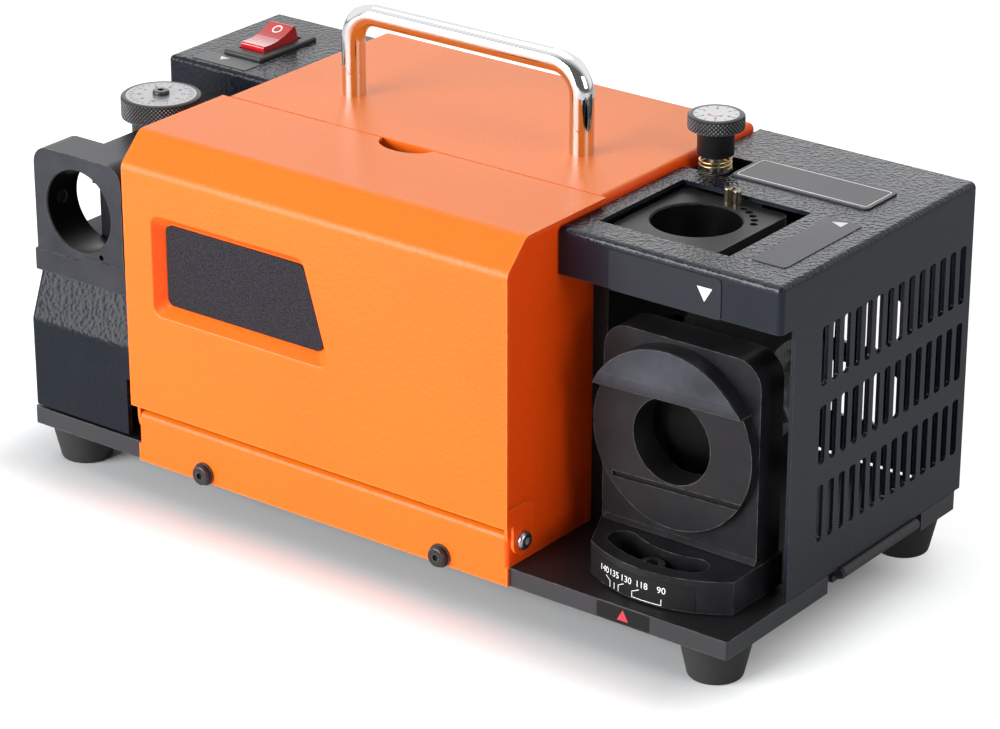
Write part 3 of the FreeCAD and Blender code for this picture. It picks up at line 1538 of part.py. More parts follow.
def hinge_guard_leaf():
    """Leaf inside the guard's side wall with the middle knuckle."""
    face = guard_right - guard_sheet
    plate = box((face - hinge_leaf, face), (hinge_front, hinge_back),
                (guard_lift, hinge_leaf_rise))
    ys = (hinge_mid_front + slip / 2, hinge_mid_back - slip / 2)
    tongue = box((face - hinge_leaf, face), ys, (hinge_z, guard_lift))
    knuckle = rod((hinge_x, ys[0], hinge_z), ALONG_Y, hinge_barrel, ys[1] - ys[0])
    bore = rod((hinge_x, ys[0] - 1, hinge_z), ALONG_Y, hinge_pin_diameter + 2 * fit,
               ys[1] - ys[0] + 2)
    return join(plate, tongue, knuckle).cut(bore)


def hinge_base_leaf():
    """Leaf on the notch face of the base with the two outer knuckles."""
    face = base_length - hinge_notch_depth
    plate = box((face, face + hinge_leaf), (hinge_front, hinge_back), (-base_thickness, -0.5))
    pieces = [plate]
    bores = []
    for ys in ((hinge_front, hinge_mid_front - slip / 2), (hinge_mid_back + slip / 2, hinge_back)):
        pieces.append(box((face, hinge_x), ys,
                          (hinge_z - hinge_barrel / 2, hinge_z - hinge_barrel / 2 + 1.0)))
        pieces.append(rod((hinge_x, ys[0], hinge_z), ALONG_Y, hinge_barrel, ys[1] - ys[0]))
        bores.append(rod((hinge_x, ys[0] - 1, hinge_z), ALONG_Y,
                         hinge_pin_diameter + 2 * fit, ys[1] - ys[0] + 2))
    return join(*pieces).cut(bores)


def hinge_pin():
    pin = rod((hinge_x, hinge_front - 1, hinge_z), ALONG_Y, hinge_pin_diameter,
              hinge_back - hinge_front + 2)
    head = rod((hinge_x, hinge_front - 1, hinge_z), ALONG_Y, hinge_barrel - 0.6, 0.9)
    return join(pin, head)


def save(name, shape):
    """Move a shape into the shared frame and write it."""
    moved = shape.copy()
    moved.translate(Vector(-base_length / 2, -base_depth / 2, deck_height))
    solids = moved.Solids
    if len(solids) == 1:
        moved = solids[0]
    if not moved.isValid():
        print("not valid:", name)
    moved.exportStep("parts/" + name + ".step")
    print(name, len(solids), round(moved.Volume, 1))


os.makedirs("parts", exist_ok=True)
save("base_plate", base_plate())
save("rubber_feet", rubber_feet())
save("foot_screws", foot_screws())
save("hood_shell", hood_shell())
save("hood_screws", hood_screws())
save("hood_washers", hood_washers())
save("door_panel", door_panel())
save("door_nameplate", door_nameplate())
save("door_pivot_screws", door_pivot_screws())
save("carry_handle", carry_handle())
save("handle_screws", handle_screws())
save("motor_partition", motor_partition())
save("partition_screws", partition_screws())
save("side_housing", side_housing())
save("switch_box", switch_box())
save("housing_screws", housing_screws())
save("switch_frame", switch_frame())
save("switch_rocker", switch_rocker())
save("cord_gland", cord_gland())
save("setting_ledge", setting_ledge())
save("setting_block", setting_block())
save("setting_screws", setting_screws())
save("setting_grub", setting_grub())
save("web_stop", web_stop())
save("web_dial", web_dial())
save("dial_scale_disc", dial_scale_disc())
save("dial_screw", dial_screw())
save("dial_shaft_pin", dial_shaft_pin())
save("wheel_bracket", wheel_bracket())
save("bracket_screws", bracket_screws())
save("guide_pins", guide_pins())
save("splitting_block", splitting_block())
save("index_pins", index_pins())
save("splitting_knob", splitting_knob())
save("knob_scale_disc", knob_scale_disc())
save("knob_stud", knob_stud())
save("knob_spring", knob_spring())
save("swivel_bracket", swivel_bracket())
save("guide_bush", guide_bush())
save("bush_screws", bush_screws())
save("swivel_pin", swivel_pin())
save("clamp_screw", clamp_screw())
save("spindle_shaft", spindle_shaft())
save("grinding_wheel", grinding_wheel())
save("wheel_core", wheel_core())
save("wheel_collar", wheel_collar())
save("wheel_nut", wheel_nut())
save("motor_housing", motor_housing())
save("end_bells", end_bells())
save("motor_bearings", motor_bearings())
save("tie_bolts", tie_bolts())
save("motor_rotor", motor_rotor())
save("cooling_fan", cooling_fan())
save("motor_cradle", motor_cradle())
save("cradle_screws", cradle_screws())
save("run_capacitor", run_capacitor())
save("wheel_guard", wheel_guard())
save("hinge_guard_leaf", hinge_guard_leaf())
save("hinge_base_leaf", hinge_base_leaf())
save("hinge_pin", hinge_pin())
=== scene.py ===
import json
import math

import bmesh
import bpy
import numpy as np
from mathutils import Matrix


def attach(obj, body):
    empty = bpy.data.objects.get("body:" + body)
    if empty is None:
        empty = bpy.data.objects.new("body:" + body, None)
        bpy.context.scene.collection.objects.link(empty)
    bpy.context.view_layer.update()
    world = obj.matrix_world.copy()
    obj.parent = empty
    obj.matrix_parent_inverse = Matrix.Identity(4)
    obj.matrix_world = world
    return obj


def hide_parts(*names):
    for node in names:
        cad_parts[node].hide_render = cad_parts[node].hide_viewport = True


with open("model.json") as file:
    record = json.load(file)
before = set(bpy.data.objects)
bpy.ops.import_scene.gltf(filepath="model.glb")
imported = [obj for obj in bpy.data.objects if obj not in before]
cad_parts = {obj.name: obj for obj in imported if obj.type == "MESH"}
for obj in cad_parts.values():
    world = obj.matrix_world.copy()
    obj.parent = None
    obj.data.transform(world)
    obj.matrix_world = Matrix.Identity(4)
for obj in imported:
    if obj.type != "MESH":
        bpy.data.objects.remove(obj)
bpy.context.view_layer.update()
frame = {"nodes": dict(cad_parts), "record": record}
nodes = frame["nodes"]
scene = bpy.context.scene

# Places on the machine are in millimetres from the base plate's left end, front edge and top face.
MM = 0.001
BASE_LENGTH = 320.0
BASE_DEPTH = 148.0
DECK = 21.5
HOUSING_TOP = 119.4
GUARD_TOP = 119.4
GUARD_FRONT = 27.1
HOOD_RIGHT = 228.2
SPINDLE_Y = 84.7
SPINDLE_Z = 53.5

# Setting station
SETTING_X = 22.4
SETTING_PORT_Z = 83.1
DIAL_Y = 53.1
DIAL_BOTTOM = 107.8
DIAL_TOP = 116.2
DIAL_RIM = 15.5
DIAL_EDGE = 0.35
DIAL_KNURLS = 62
DIAL_BOSS = 9.0
DIAL_BORE = 4.05
DIAL_BORE_DEPTH = 4.2
DIAL_SCREW_BORE = 2.1
DIAL_SEAT = 13.6

# Splitting station
SPLIT_X = 257.9
SPLIT_Y = 67.75
KNOB_X = 236.5
KNOB_Y = 110.5
KNOB_BOSS_TOP = 118.0
KNOB_NECK_BASE = 123.4
KNOB_RIM_BASE = 133.2
KNOB_TOP = 138.6
KNOB_NECK = 6.75
KNOB_NECK_EDGE = 0.4
KNOB_NECK_FILLET = 0.3
KNOB_RIM = 10.5
KNOB_EDGE = 0.3
KNOB_KNURLS = 42
KNOB_BORE = 3.05
KNOB_SEAT = 8.4
KNOB_SEAT_INNER = 4.0
KNOB_SEAT_FALL = 0.1
COIL_RISE = 0.75

# Knurl, bevels and scale seat of both knobs
KNURL_DEPTH = 0.55
KNURL_STEP = 0.2
BEVEL = 0.25
BEVEL_UNDER = 0.8
BEVEL_OVER = 0.7
SEAT_DEPTH = 0.6
SEAT_FLARE = 0.05

# Point station
SWIVEL_X = 280.0
SWIVEL_Y = 56.0
ARC_RADIUS = 50.0
ARC_LOW = 0.6
BUSH_X = 275.8
BUSH_Z = 51.2
NOSE_Y = 24.7
NOSE_TURN = 1.9
DISC_Y = 29.0
GROOVE_LOW = -18.8
GROOVE_HIGH = -16.8
PORT_RADIUS = 16.0

# Switch
SWITCH_X = 25.2
SWITCH_Y = 113.5
ROCKER_PIVOT_Z = 118.4
ROCKER_HALF = 9.6
ROCKER_RISE = 7.0
ROCKER_DIP = 1.6
ROCKER_TILT = 12.0

# Films and inks: gap under a film, ink on a film, ink on a turned scale
GAP = 0.02
INK = 0.05
SCALE_INK = 0.06


def spot(points):
    """Machine places in millimetres as frame places in metres."""
    shift = np.array([-BASE_LENGTH / 2, -BASE_DEPTH / 2, DECK])
    return (np.asarray(points, float) + shift) * MM


# Node trees

UPWARD = ("Z", 0.15, 0.6)


class Nodes:
    """Node tree while it is put together."""

    def __init__(self, tree):
        self.tree = tree

    def node(self, kind, **values):
        """New node with plain values on its sockets or settings."""
        made = self.tree.nodes.new(kind)
        for name, value in values.items():
            label = name.replace("_", " ")
            if label in made.inputs:
                made.inputs[label].default_value = value
            else:
                setattr(made, name, value)
        return made

    def link(self, start, end):
        self.tree.links.new(start, end)

    def feed(self, value, socket):
        """Link or plain value on a socket."""
        if isinstance(value, bpy.types.NodeSocket):
            self.link(value, socket)
        elif value is not None:
            socket.default_value = value

    def number(self, operation, first, second=None, clamp=False):
        """One sum on two sockets or numbers."""
        made = self.node("ShaderNodeMath", operation=operation, use_clamp=clamp)
        self.feed(first, made.inputs[0])
        self.feed(second, made.inputs[1])
        return made.outputs[0]

    def vector(self, operation, first, second=None):
        """One sum on two vectors, which are sockets or plain."""
        made = self.node("ShaderNodeVectorMath", operation=operation)
        self.feed(first, made.inputs[0])
        self.feed(second, made.inputs[1])
        return made.outputs["Value" if operation in ("LENGTH", "DOT_PRODUCT") else "Vector"]

    def ranged(self, value, **limits):
        """Value carried from one span to another, and kept inside it."""
        made = self.node("ShaderNodeMapRange", **limits)
        self.link(value, made.inputs["Value"])
        return made.outputs["Result"]

    def span(self, value, low, high):
        """Value between nought and one stretched to lie between low and high."""
        return self.ranged(value, To_Min=low, To_Max=high)

    def pick(self, factor, first, second):
        """Value between two values, by a mask."""
        mix = self.node("ShaderNodeMix", data_type="FLOAT")
        self.link(factor, mix.inputs[0])
        self.feed(first, mix.inputs[2])
        self.feed(second, mix.inputs[3])
        return mix.outputs[0]

    def texture(self, kind, vector, scale, **values):
        """Texture read along a vector, its scale a socket or a number."""
        made = self.node(kind, **values)
        self.link(vector, made.inputs["Vector"])
        self.feed(scale, made.inputs["Scale"])
        return made

    def noise(self, vector, scale, **values):
        return self.texture("ShaderNodeTexNoise", vector, scale, **values).outputs["Fac"]

    def place(self, kind="Object"):
        return self.node("ShaderNodeTexCoord").outputs[kind]

    def along(self, vector, axis):
        """One part of a vector."""
        parts = self.node("ShaderNodeSeparateXYZ")
        self.link(vector, parts.inputs[0])
        return parts.outputs[axis]

    def seen(self):
        """One on rays that come from the camera, straight or through something clear."""
        path = self.node("ShaderNodeLightPath")
        return self.number("MAXIMUM", path.outputs["Is Camera Ray"],
                           path.outputs["Is Transmission Ray"])


class Finish(Nodes):
    """A material while it is put together."""

    def __init__(self, name):
        self.material = bpy.data.materials.new(name)
        self.material.use_nodes = True
        super().__init__(self.material.node_tree)
        self.shader = self.tree.nodes["Principled BSDF"]

    def put(self, **values):
        """Plain values on the shader's own sockets."""
        for name, value in values.items():
            self.shader.inputs[name.replace("_", " ")].default_value = value

    def effect(self, tree, **values):
        """Outputs of a shared effect, placed in this material with its own values."""
        return self.node("ShaderNodeGroup", node_tree=tree, **values).outputs

    def blend(self, factor, first, second):
        """Colour between two colours, by a mask."""
        mix = self.node("ShaderNodeMix", data_type="RGBA")
        self.link(factor, mix.inputs["Factor"])
        for value, socket in ((first, mix.inputs[6]), (second, mix.inputs[7])):
            plain = isinstance(value, tuple)
            self.feed((*value, 1.0) if plain else value, socket)
        return mix.outputs[2]

    def facing(self, axis, start, full, low=0.0, high=1.0):
        """Value that goes from low to high as a face turns to look along an axis."""
        return self.ranged(self.along(self.place("Normal"), axis), From_Min=start, From_Max=full,
                           To_Min=low, To_Max=high)

    def about(self, centre):
        """Place on the piece, measured from a point of the machine."""
        return self.vector("SUBTRACT", self.place(), tuple(spot(centre)))

    def behind(self, start, full):
        """Mask that grows between two distances from the base's front edge."""
        edges = spot([(0, start, 0), (0, full, 0)])[:, 1]
        return self.ranged(self.along(self.place(), "Y"), From_Min=float(edges[0]),
                           From_Max=float(edges[1]))

    def inside_bore(self, centre, axis):
        """Mask of a round port's wall: places no farther from its axis than the wall."""
        away = self.vector("LENGTH", self.vector("CROSS_PRODUCT", self.about(centre), axis))
        wall = PORT_RADIUS * MM
        return self.ranged(away, From_Min=wall + 0.1 * MM, From_Max=wall + 0.3 * MM,
                           To_Min=1.0, To_Max=0.0)

    def colour(self, socket):
        self.link(socket, self.shader.inputs["Base Color"])

    def rough(self, socket):
        self.link(socket, self.shader.inputs["Roughness"])

    def relief(self, height, distance, strength):
        """Bump from a height."""
        bump = self.node("ShaderNodeBump", Strength=strength, Distance=distance)
        self.link(height, bump.inputs["Height"])
        self.link(bump.outputs["Normal"], self.shader.inputs["Normal"])


class Effect(Nodes):
    """Shared effect while it is put together: a group with named number sockets."""

    def __init__(self, name, inputs, outputs):
        super().__init__(bpy.data.node_groups.new(name, "ShaderNodeTree"))
        kind = "NodeSocketFloat"
        for label, value in inputs.items():
            made = self.tree.interface.new_socket(label, in_out="INPUT", socket_type=kind)
            made.default_value = value
        for label in outputs:
            self.tree.interface.new_socket(label, in_out="OUTPUT", socket_type=kind)
        self.given = self.tree.nodes.new("NodeGroupInput").outputs
        self.result = self.tree.nodes.new("NodeGroupOutput").inputs


# Shared effects

def pebble_effect():
    """Fine orange-peel grain: two sizes of noise added, for powder coat and cast skin."""
    e = Effect("pebble", {"Scale": 900.0, "Fine": 0.35}, ["Height", "Tint"])
    place = e.place()
    coarse = e.noise(place, e.given["Scale"], Detail=1.0, Roughness=0.4)
    finer = e.number("MULTIPLY", e.given["Scale"], 2.6)
    fine = e.noise(place, finer, Detail=2.0, Roughness=0.5)
    part = e.number("MULTIPLY", fine, e.given["Fine"])
    e.link(e.number("ADD", coarse, part), e.result["Height"])
    e.link(e.noise(place, 14.0, Detail=3.0), e.result["Tint"])
    return e.tree


def hammer_effect():
    """Hammered enamel: rounded cells pushed out of line by noise, smooth between their rims."""
    e = Effect("hammer", {"Scale": 260.0, "Warp": 0.004}, ["Height", "Tint"])
    place = e.place()
    stray = e.texture("ShaderNodeTexNoise", place, 130.0, Detail=2.0).outputs["Color"]
    push = e.node("ShaderNodeVectorMath", operation="SCALE")
    e.link(e.vector("SUBTRACT", stray, (0.5, 0.5, 0.5)), push.inputs[0])
    e.link(e.given["Warp"], push.inputs["Scale"])
    moved = e.vector("ADD", place, push.outputs[0])
    cells = e.texture("ShaderNodeTexVoronoi", moved, e.given["Scale"], feature="SMOOTH_F1",
                      Smoothness=0.9)
    e.link(cells.outputs["Distance"], e.result["Height"])
    e.link(e.noise(place, 30.0, Detail=3.0), e.result["Tint"])
    return e.tree


def wear_effect():
    """Worn edges and painted edge highlights: where a rounded normal leaves the face's own, broken up
    by noise.
    """
    e = Effect("edge_wear_and_glint", {"Width": 0.0008, "Patch": 160.0, "Gain": 5.0}, ["Mask"])
    rounded = e.node("ShaderNodeBevel", samples=6)
    e.link(e.given["Width"], rounded.inputs["Radius"])
    own = e.node("ShaderNodeNewGeometry").outputs["Normal"]
    match = e.vector("DOT_PRODUCT", rounded.outputs["Normal"], own)
    noise = e.noise(e.place(), e.given["Patch"], Detail=4.0, Roughness=0.65)
    patch = e.ranged(noise, From_Min=0.36, From_Max=0.7)
    turned = e.number("SUBTRACT", 1.0, match)
    raised = e.number("MULTIPLY", turned, e.given["Gain"], True)
    e.link(e.number("MULTIPLY", raised, patch, True), e.result["Mask"])
    return e.tree


def cloud_effect():
    """Soft uneven tone, with fine scratches along one axis of the piece."""
    e = Effect("cloud", {"Scale": 60.0, "Stretch": 1.0, "Scratch": 900.0}, ["Tone", "Line"])
    place = e.place()
    sizes = e.node("ShaderNodeCombineXYZ", X=1.0, Y=1.0)
    squeeze = e.node("ShaderNodeMapping")
    e.link(e.given["Stretch"], sizes.inputs["Z"])
    e.link(sizes.outputs[0], squeeze.inputs["Scale"])
    e.link(place, squeeze.inputs["Vector"])
    e.link(e.noise(place, e.given["Scale"], Detail=4.0, Roughness=0.6), e.result["Tone"])
    e.link(e.noise(squeeze.outputs[0], e.given["Scratch"], Detail=1.0), e.result["Line"])
    return e.tree


PEBBLE = pebble_effect()
HAMMER = hammer_effect()
WEAR_AND_GLINT = wear_effect()
CLOUD = cloud_effect()


# Finishes

# Painted shade for the walls inside ports.
PORT_SHADE = (0.003, 0.003, 0.0033)


def orange_powder():
    """Orange powder coat: fine pebble, slow change of tone, painted light on top, painted shade on the
    right side, painted highlights of paler grains on bends.
    """
    f = Finish("orange_powder")
    grain = f.effect(PEBBLE, Scale=640.0, Fine=0.3)
    edge_mask = f.effect(WEAR_AND_GLINT, Width=0.0016, Patch=900.0, Gain=1.6)
    front = f.blend(grain["Tint"], (0.95, 0.128, 0.002), (1.0, 0.153, 0.004))
    # Painted light: faces that look up get a yellower tone.
    paint = f.blend(f.facing("Z", 0.8, 0.97), front, (0.9, 0.185, 0.004))
    # Painted shade: faces turned to the right side get a deeper, redder tone.
    body = f.blend(f.facing("X", 0.35, 0.95), paint, (1.0, 0.078, 0.0003))
    # Painted highlight: paler grains on the bends, where light glints.
    f.colour(f.blend(edge_mask["Mask"], body, (1.0, 0.36, 0.1)))
    f.rough(f.span(grain["Height"], 0.32, 0.46))
    f.put(Specular_IOR_Level=0.37)
    f.relief(grain["Height"], 0.0002, 0.7)
    return f.material


def hammered_black():
    """Hammered enamel, near black and glossy, its domes fainter on the upright faces."""
    f = Finish("hammered_black")
    dents = f.effect(HAMMER, Scale=600.0, Warp=0.0012)
    domes = f.span(dents["Height"], 1.0, 0.0)
    f.colour(f.blend(dents["Tint"], (0.005, 0.0072, 0.0115), (0.011, 0.0142, 0.02)))
    f.rough(f.span(dents["Tint"], 0.22, 0.32))
    f.put(Specular_IOR_Level=0.15)
    f.relief(f.number("MULTIPLY", domes, f.facing(*UPWARD, 0.6, 1.0)), 0.0005, 0.6)
    return f.material


def leather_black():
    """Leathery black enamel of the guard: dented on top, satin on its sides, paler edges partly worn
    and partly painted highlight.
    """
    f = Finish("leather_black")
    dents = f.effect(HAMMER, Scale=760.0, Warp=0.0018)
    edge_mask = f.effect(WEAR_AND_GLINT, Width=0.0009, Patch=420.0, Gain=2.4)
    body = f.blend(dents["Tint"], (0.0035, 0.0065, 0.0125), (0.0075, 0.0115, 0.0195))
    # Paler edges: partly worn, partly painted edge highlight.
    f.colour(f.blend(edge_mask["Mask"], body, (0.06, 0.064, 0.072)))
    f.rough(f.span(dents["Tint"], 0.22, 0.32))
    f.put(Specular_IOR_Level=0.33)
    f.relief(f.number("MULTIPLY", dents["Height"], f.facing(*UPWARD, 0.07, 1.0)), 0.0006, 0.55)
    return f.material


def black_oxide(name, deep=(0.006, 0.0062, 0.0072), pale=(0.0165, 0.017, 0.0195),
                rough=(0.32, 0.46), edge=(0.2, 0.197, 0.192), shine=0.2, port=None):
    """Blackened steel: cloudy charcoal, faint machining lines, bright edges partly worn and partly
    painted highlight, painted shade inside a port.
    """
    f = Finish(name)
    tone = f.effect(CLOUD, Scale=70.0, Stretch=0.05, Scratch=1500.0)
    edge_mask = f.effect(WEAR_AND_GLINT, Width=0.0006, Patch=300.0, Gain=3.4)
    body = f.blend(f.span(tone["Tone"], -0.5, 1.5), deep, pale)
    if port:
        # Painted shade: the port's wall near black, where shade falls.
        body = f.blend(f.inside_bore(*port), body, PORT_SHADE)
    # Paler edges: partly worn, partly painted edge highlight.
    f.colour(f.blend(edge_mask["Mask"], body, edge))
    f.rough(f.span(tone["Tone"], *rough))
    f.put(Specular_IOR_Level=shine)
    f.relief(tone["Line"], 0.00004, 0.35)
    return f.material


def groove_mask(f, reach):
    """Mask of the disc's groove: a band across its face, behind the face's own plane."""
    turn = math.radians(NOSE_TURN)
    middle = (GROOVE_HIGH + GROOVE_LOW) / 2 * MM
    half = (GROOVE_HIGH - GROOVE_LOW) / 2 * MM
    rise = f.vector("DOT_PRODUCT", reach, (-math.sin(turn), 0.0, math.cos(turn)))
    off = f.number("ABSOLUTE", f.number("SUBTRACT", rise, middle))
    band = f.ranged(off, From_Min=half + 0.02 * MM, From_Max=half + 0.08 * MM,
                    To_Min=1.0, To_Max=0.0)
    return f.number("MULTIPLY", band, f.behind(DISC_Y + 0.04, DISC_Y + 0.12))


def turned_oxide():
    """Blackened disc of the point port: its proud face paler than the disc behind it, bright edges
    partly worn and partly painted highlight, painted shade in the port and the groove, with rings of
    the turning.
    """
    f = Finish("turned_oxide")
    reach = f.about((BUSH_X, NOSE_Y, BUSH_Z))
    rings = f.texture("ShaderNodeTexWave", reach, 420.0, wave_type="RINGS", rings_direction="Y",
                      Distortion=1.2, Detail=2.0, Detail_Scale=3.0).outputs["Fac"]
    tone = f.effect(CLOUD, Scale=55.0, Stretch=1.0, Scratch=900.0)
    edge_mask = f.effect(WEAR_AND_GLINT, Width=0.0006, Patch=300.0, Gain=3.4)
    low = f.blend(f.span(tone["Tone"], -0.5, 1.5), (0.0065, 0.0065, 0.0076),
                  (0.0155, 0.0156, 0.018))
    high = f.blend(f.span(tone["Tone"], -0.7, 1.7), (0.026, 0.029, 0.037), (0.058, 0.0635, 0.077))
    face = f.blend(f.behind(NOSE_Y + 1.6, NOSE_Y + 0.2), low, high)
    # Painted shade: the port's wall near black.
    port = f.inside_bore((BUSH_X, DISC_Y, BUSH_Z), (0, 1, 0))
    body = f.blend(port, face, (0.01, 0.01, 0.0112))
    # Paler edges: partly worn, partly painted edge highlight.
    rubbed = f.blend(edge_mask["Mask"], body, (0.24, 0.237, 0.233))
    # Painted shade: the groove's walls and floor near black.
    f.colour(f.blend(groove_mask(f, reach), rubbed, (0.001, 0.001, 0.001)))
    f.rough(f.span(rings, 0.3, 0.42))
    f.put(Specular_IOR_Level=0.24)
    f.relief(rings, 0.00002, 0.3)
    return f.material


def knurled_oxide():
    """Blackened steel of the knobs, with painted highlights on the tips of the knurl."""
    f = Finish("knurled_oxide")
    tone = f.effect(CLOUD, Scale=200.0, Stretch=0.3, Scratch=1500.0)
    ridge = f.node("ShaderNodeAttribute", attribute_name="ridge").outputs["Fac"]
    tips = f.ranged(ridge, From_Min=0.35, From_Max=0.95)
    body = f.blend(tone["Tone"], (0.011, 0.011, 0.0122), (0.021, 0.021, 0.0235))
    # Painted highlight: the knurl's tips paler.
    f.colour(f.blend(tips, body, (0.2, 0.2, 0.206)))
    f.rough(f.span(tone["Tone"], 0.32, 0.46))
    f.put(Metallic=0.25)
    return f.material


def satin_black():
    """Satin paint of the base, painted shade on its top faces, bright corners partly worn and partly
    painted highlight.
    """
    f = Finish("satin_black")
    grain = f.effect(PEBBLE, Scale=1100.0, Fine=0.4)
    edge_mask = f.effect(WEAR_AND_GLINT, Width=0.0007, Patch=260.0, Gain=3.0)
    body = f.blend(grain["Tint"], (0.014, 0.0148, 0.0172), (0.025, 0.0262, 0.03))
    # Painted shade: faces that look up are darker.
    shaded = f.blend(f.facing(*UPWARD, 1.0, 0.25), (0.004, 0.004, 0.0045), body)
    # Paler corners: partly worn, partly painted edge highlight.
    f.colour(f.blend(edge_mask["Mask"], shaded, (0.2, 0.2, 0.2)))
    f.rough(f.span(grain["Tint"], 0.36, 0.5))
    f.relief(grain["Height"], 0.00007, 0.4)
    return f.material


def bare_metal(name, first, second, cloud, rough, depth=0.0):
    """Bare or plated metal: two near tones, and fine lines of the tool or the polish."""
    scale, stretch, scratch = cloud
    f = Finish(name)
    tone = f.effect(CLOUD, Scale=scale, Stretch=stretch, Scratch=scratch)
    f.colour(f.blend(tone["Tone"], first, second))
    f.rough(f.span(tone["Line"], *rough))
    f.put(Metallic=1.0)
    if depth:
        f.relief(tone["Line"], depth, 0.3)
    return f.material


def plain_skin(name, first, second, pebble, rough, depth, metallic=0.0):
    """Rubber, moulded plastic or a casting: two near tones under a matt grain."""
    scale, fine = pebble
    f = Finish(name)
    grain = f.effect(PEBBLE, Scale=scale, Fine=fine)
    f.colour(f.blend(grain["Tint"], first, second))
    f.rough(f.span(grain["Height"], *rough))
    f.put(Metallic=metallic)
    f.relief(grain["Height"], depth, 0.4)
    return f.material


def motor_skin(name, first, second, metallic):
    return plain_skin(name, first, second, (700.0, 0.5), (0.4, 0.6), 0.0001, metallic)


def tinted_red():
    """Red see-through plastic of the rocker, darker in its depth, with a clear gloss."""
    f = Finish("tinted_red")
    tone = f.effect(CLOUD, Scale=110.0, Stretch=1.0, Scratch=700.0)
    f.colour(f.blend(tone["Tone"], (0.34, 0.006, 0.01), (0.66, 0.02, 0.022)))
    f.rough(f.span(tone["Line"], 0.1, 0.18))
    f.put(Coat_Weight=0.6, Coat_Roughness=0.06, Subsurface_Weight=0.25, Subsurface_Scale=0.002)
    return f.material


def smooth_film(name, first, second, rough=(0.4, 0.5), shine=0.5, speckle=(0.0, 1.0)):
    """Printed film of a label or plate: near even colour, faint speckle and haze."""
    f = Finish(name)
    grain = f.effect(PEBBLE, Scale=2400.0, Fine=0.6)
    f.colour(f.blend(f.span(grain["Height"], *speckle), first, second))
    f.rough(f.span(grain["Tint"], *rough))
    f.put(Specular_IOR_Level=shine)
    f.relief(grain["Height"], 0.00002, 0.3)
    return f.material


def spun_disc(name, centre, first, second, metallic):
    """Scale disc with fine rings of its turning, about its own centre."""
    f = Finish(name)
    rings = f.texture("ShaderNodeTexWave", f.about(centre), 900.0, wave_type="RINGS",
                      rings_direction="Z", Distortion=0.6, Detail=1.0).outputs["Fac"]
    tone = f.effect(CLOUD, Scale=160.0, Stretch=1.0, Scratch=1500.0)
    f.colour(f.blend(tone["Tone"], first, second))
    f.rough(f.span(rings, 0.3, 0.42))
    f.put(Metallic=metallic)
    f.relief(rings, 0.00001, 0.25)
    return f.material


def bonded_grit():
    """Abrasive of the wheel: coarse specks of grit in a dark bond."""
    f = Finish("bonded_grit")
    grain = f.effect(PEBBLE, Scale=1700.0, Fine=0.9)
    specks = f.span(grain["Height"], -1.0, 1.4)
    f.colour(f.blend(specks, (0.004, 0.004, 0.004), (0.018, 0.0172, 0.0162)))
    f.rough(f.span(grain["Height"], 0.65, 0.9))
    f.put(Specular_IOR_Level=0.2)
    f.relief(grain["Height"], 0.0003, 0.7)
    return f.material


GROUND = dict(cloud=(140.0, 0.06, 2600.0), rough=(0.2, 0.4), depth=0.00003)
KNURL = knurled_oxide()
BRASS = bare_metal("brassy", (0.42, 0.28, 0.1), (0.7, 0.52, 0.26), (300.0, 0.2, 2600.0), (0.22, 0.38))
WHITE_INK = smooth_film("white_ink", (0.78, 0.78, 0.78), (0.86, 0.86, 0.86))
BLACK_INK = smooth_film("black_ink", (0.02, 0.02, 0.022), (0.04, 0.04, 0.042))
GREY_INK = smooth_film("grey_ink", (0.06, 0.06, 0.064), (0.1, 0.1, 0.106))
RED_INK = smooth_film("red_ink", (0.6, 0.02, 0.04), (0.75, 0.03, 0.06), (0.35, 0.45))
LABEL = smooth_film("label_film", (0.022, 0.023, 0.027), (0.042, 0.044, 0.05), (0.34, 0.46), 0.36)
LABEL_SLATE = smooth_film("label_slate", (0.007, 0.009, 0.0145), (0.016, 0.019, 0.0265),
                          (0.34, 0.44), 0.24)
LABEL_DARK = smooth_film("label_dark", (0.004, 0.004, 0.0048), (0.008, 0.008, 0.0092),
                         (0.42, 0.52), 0.2)

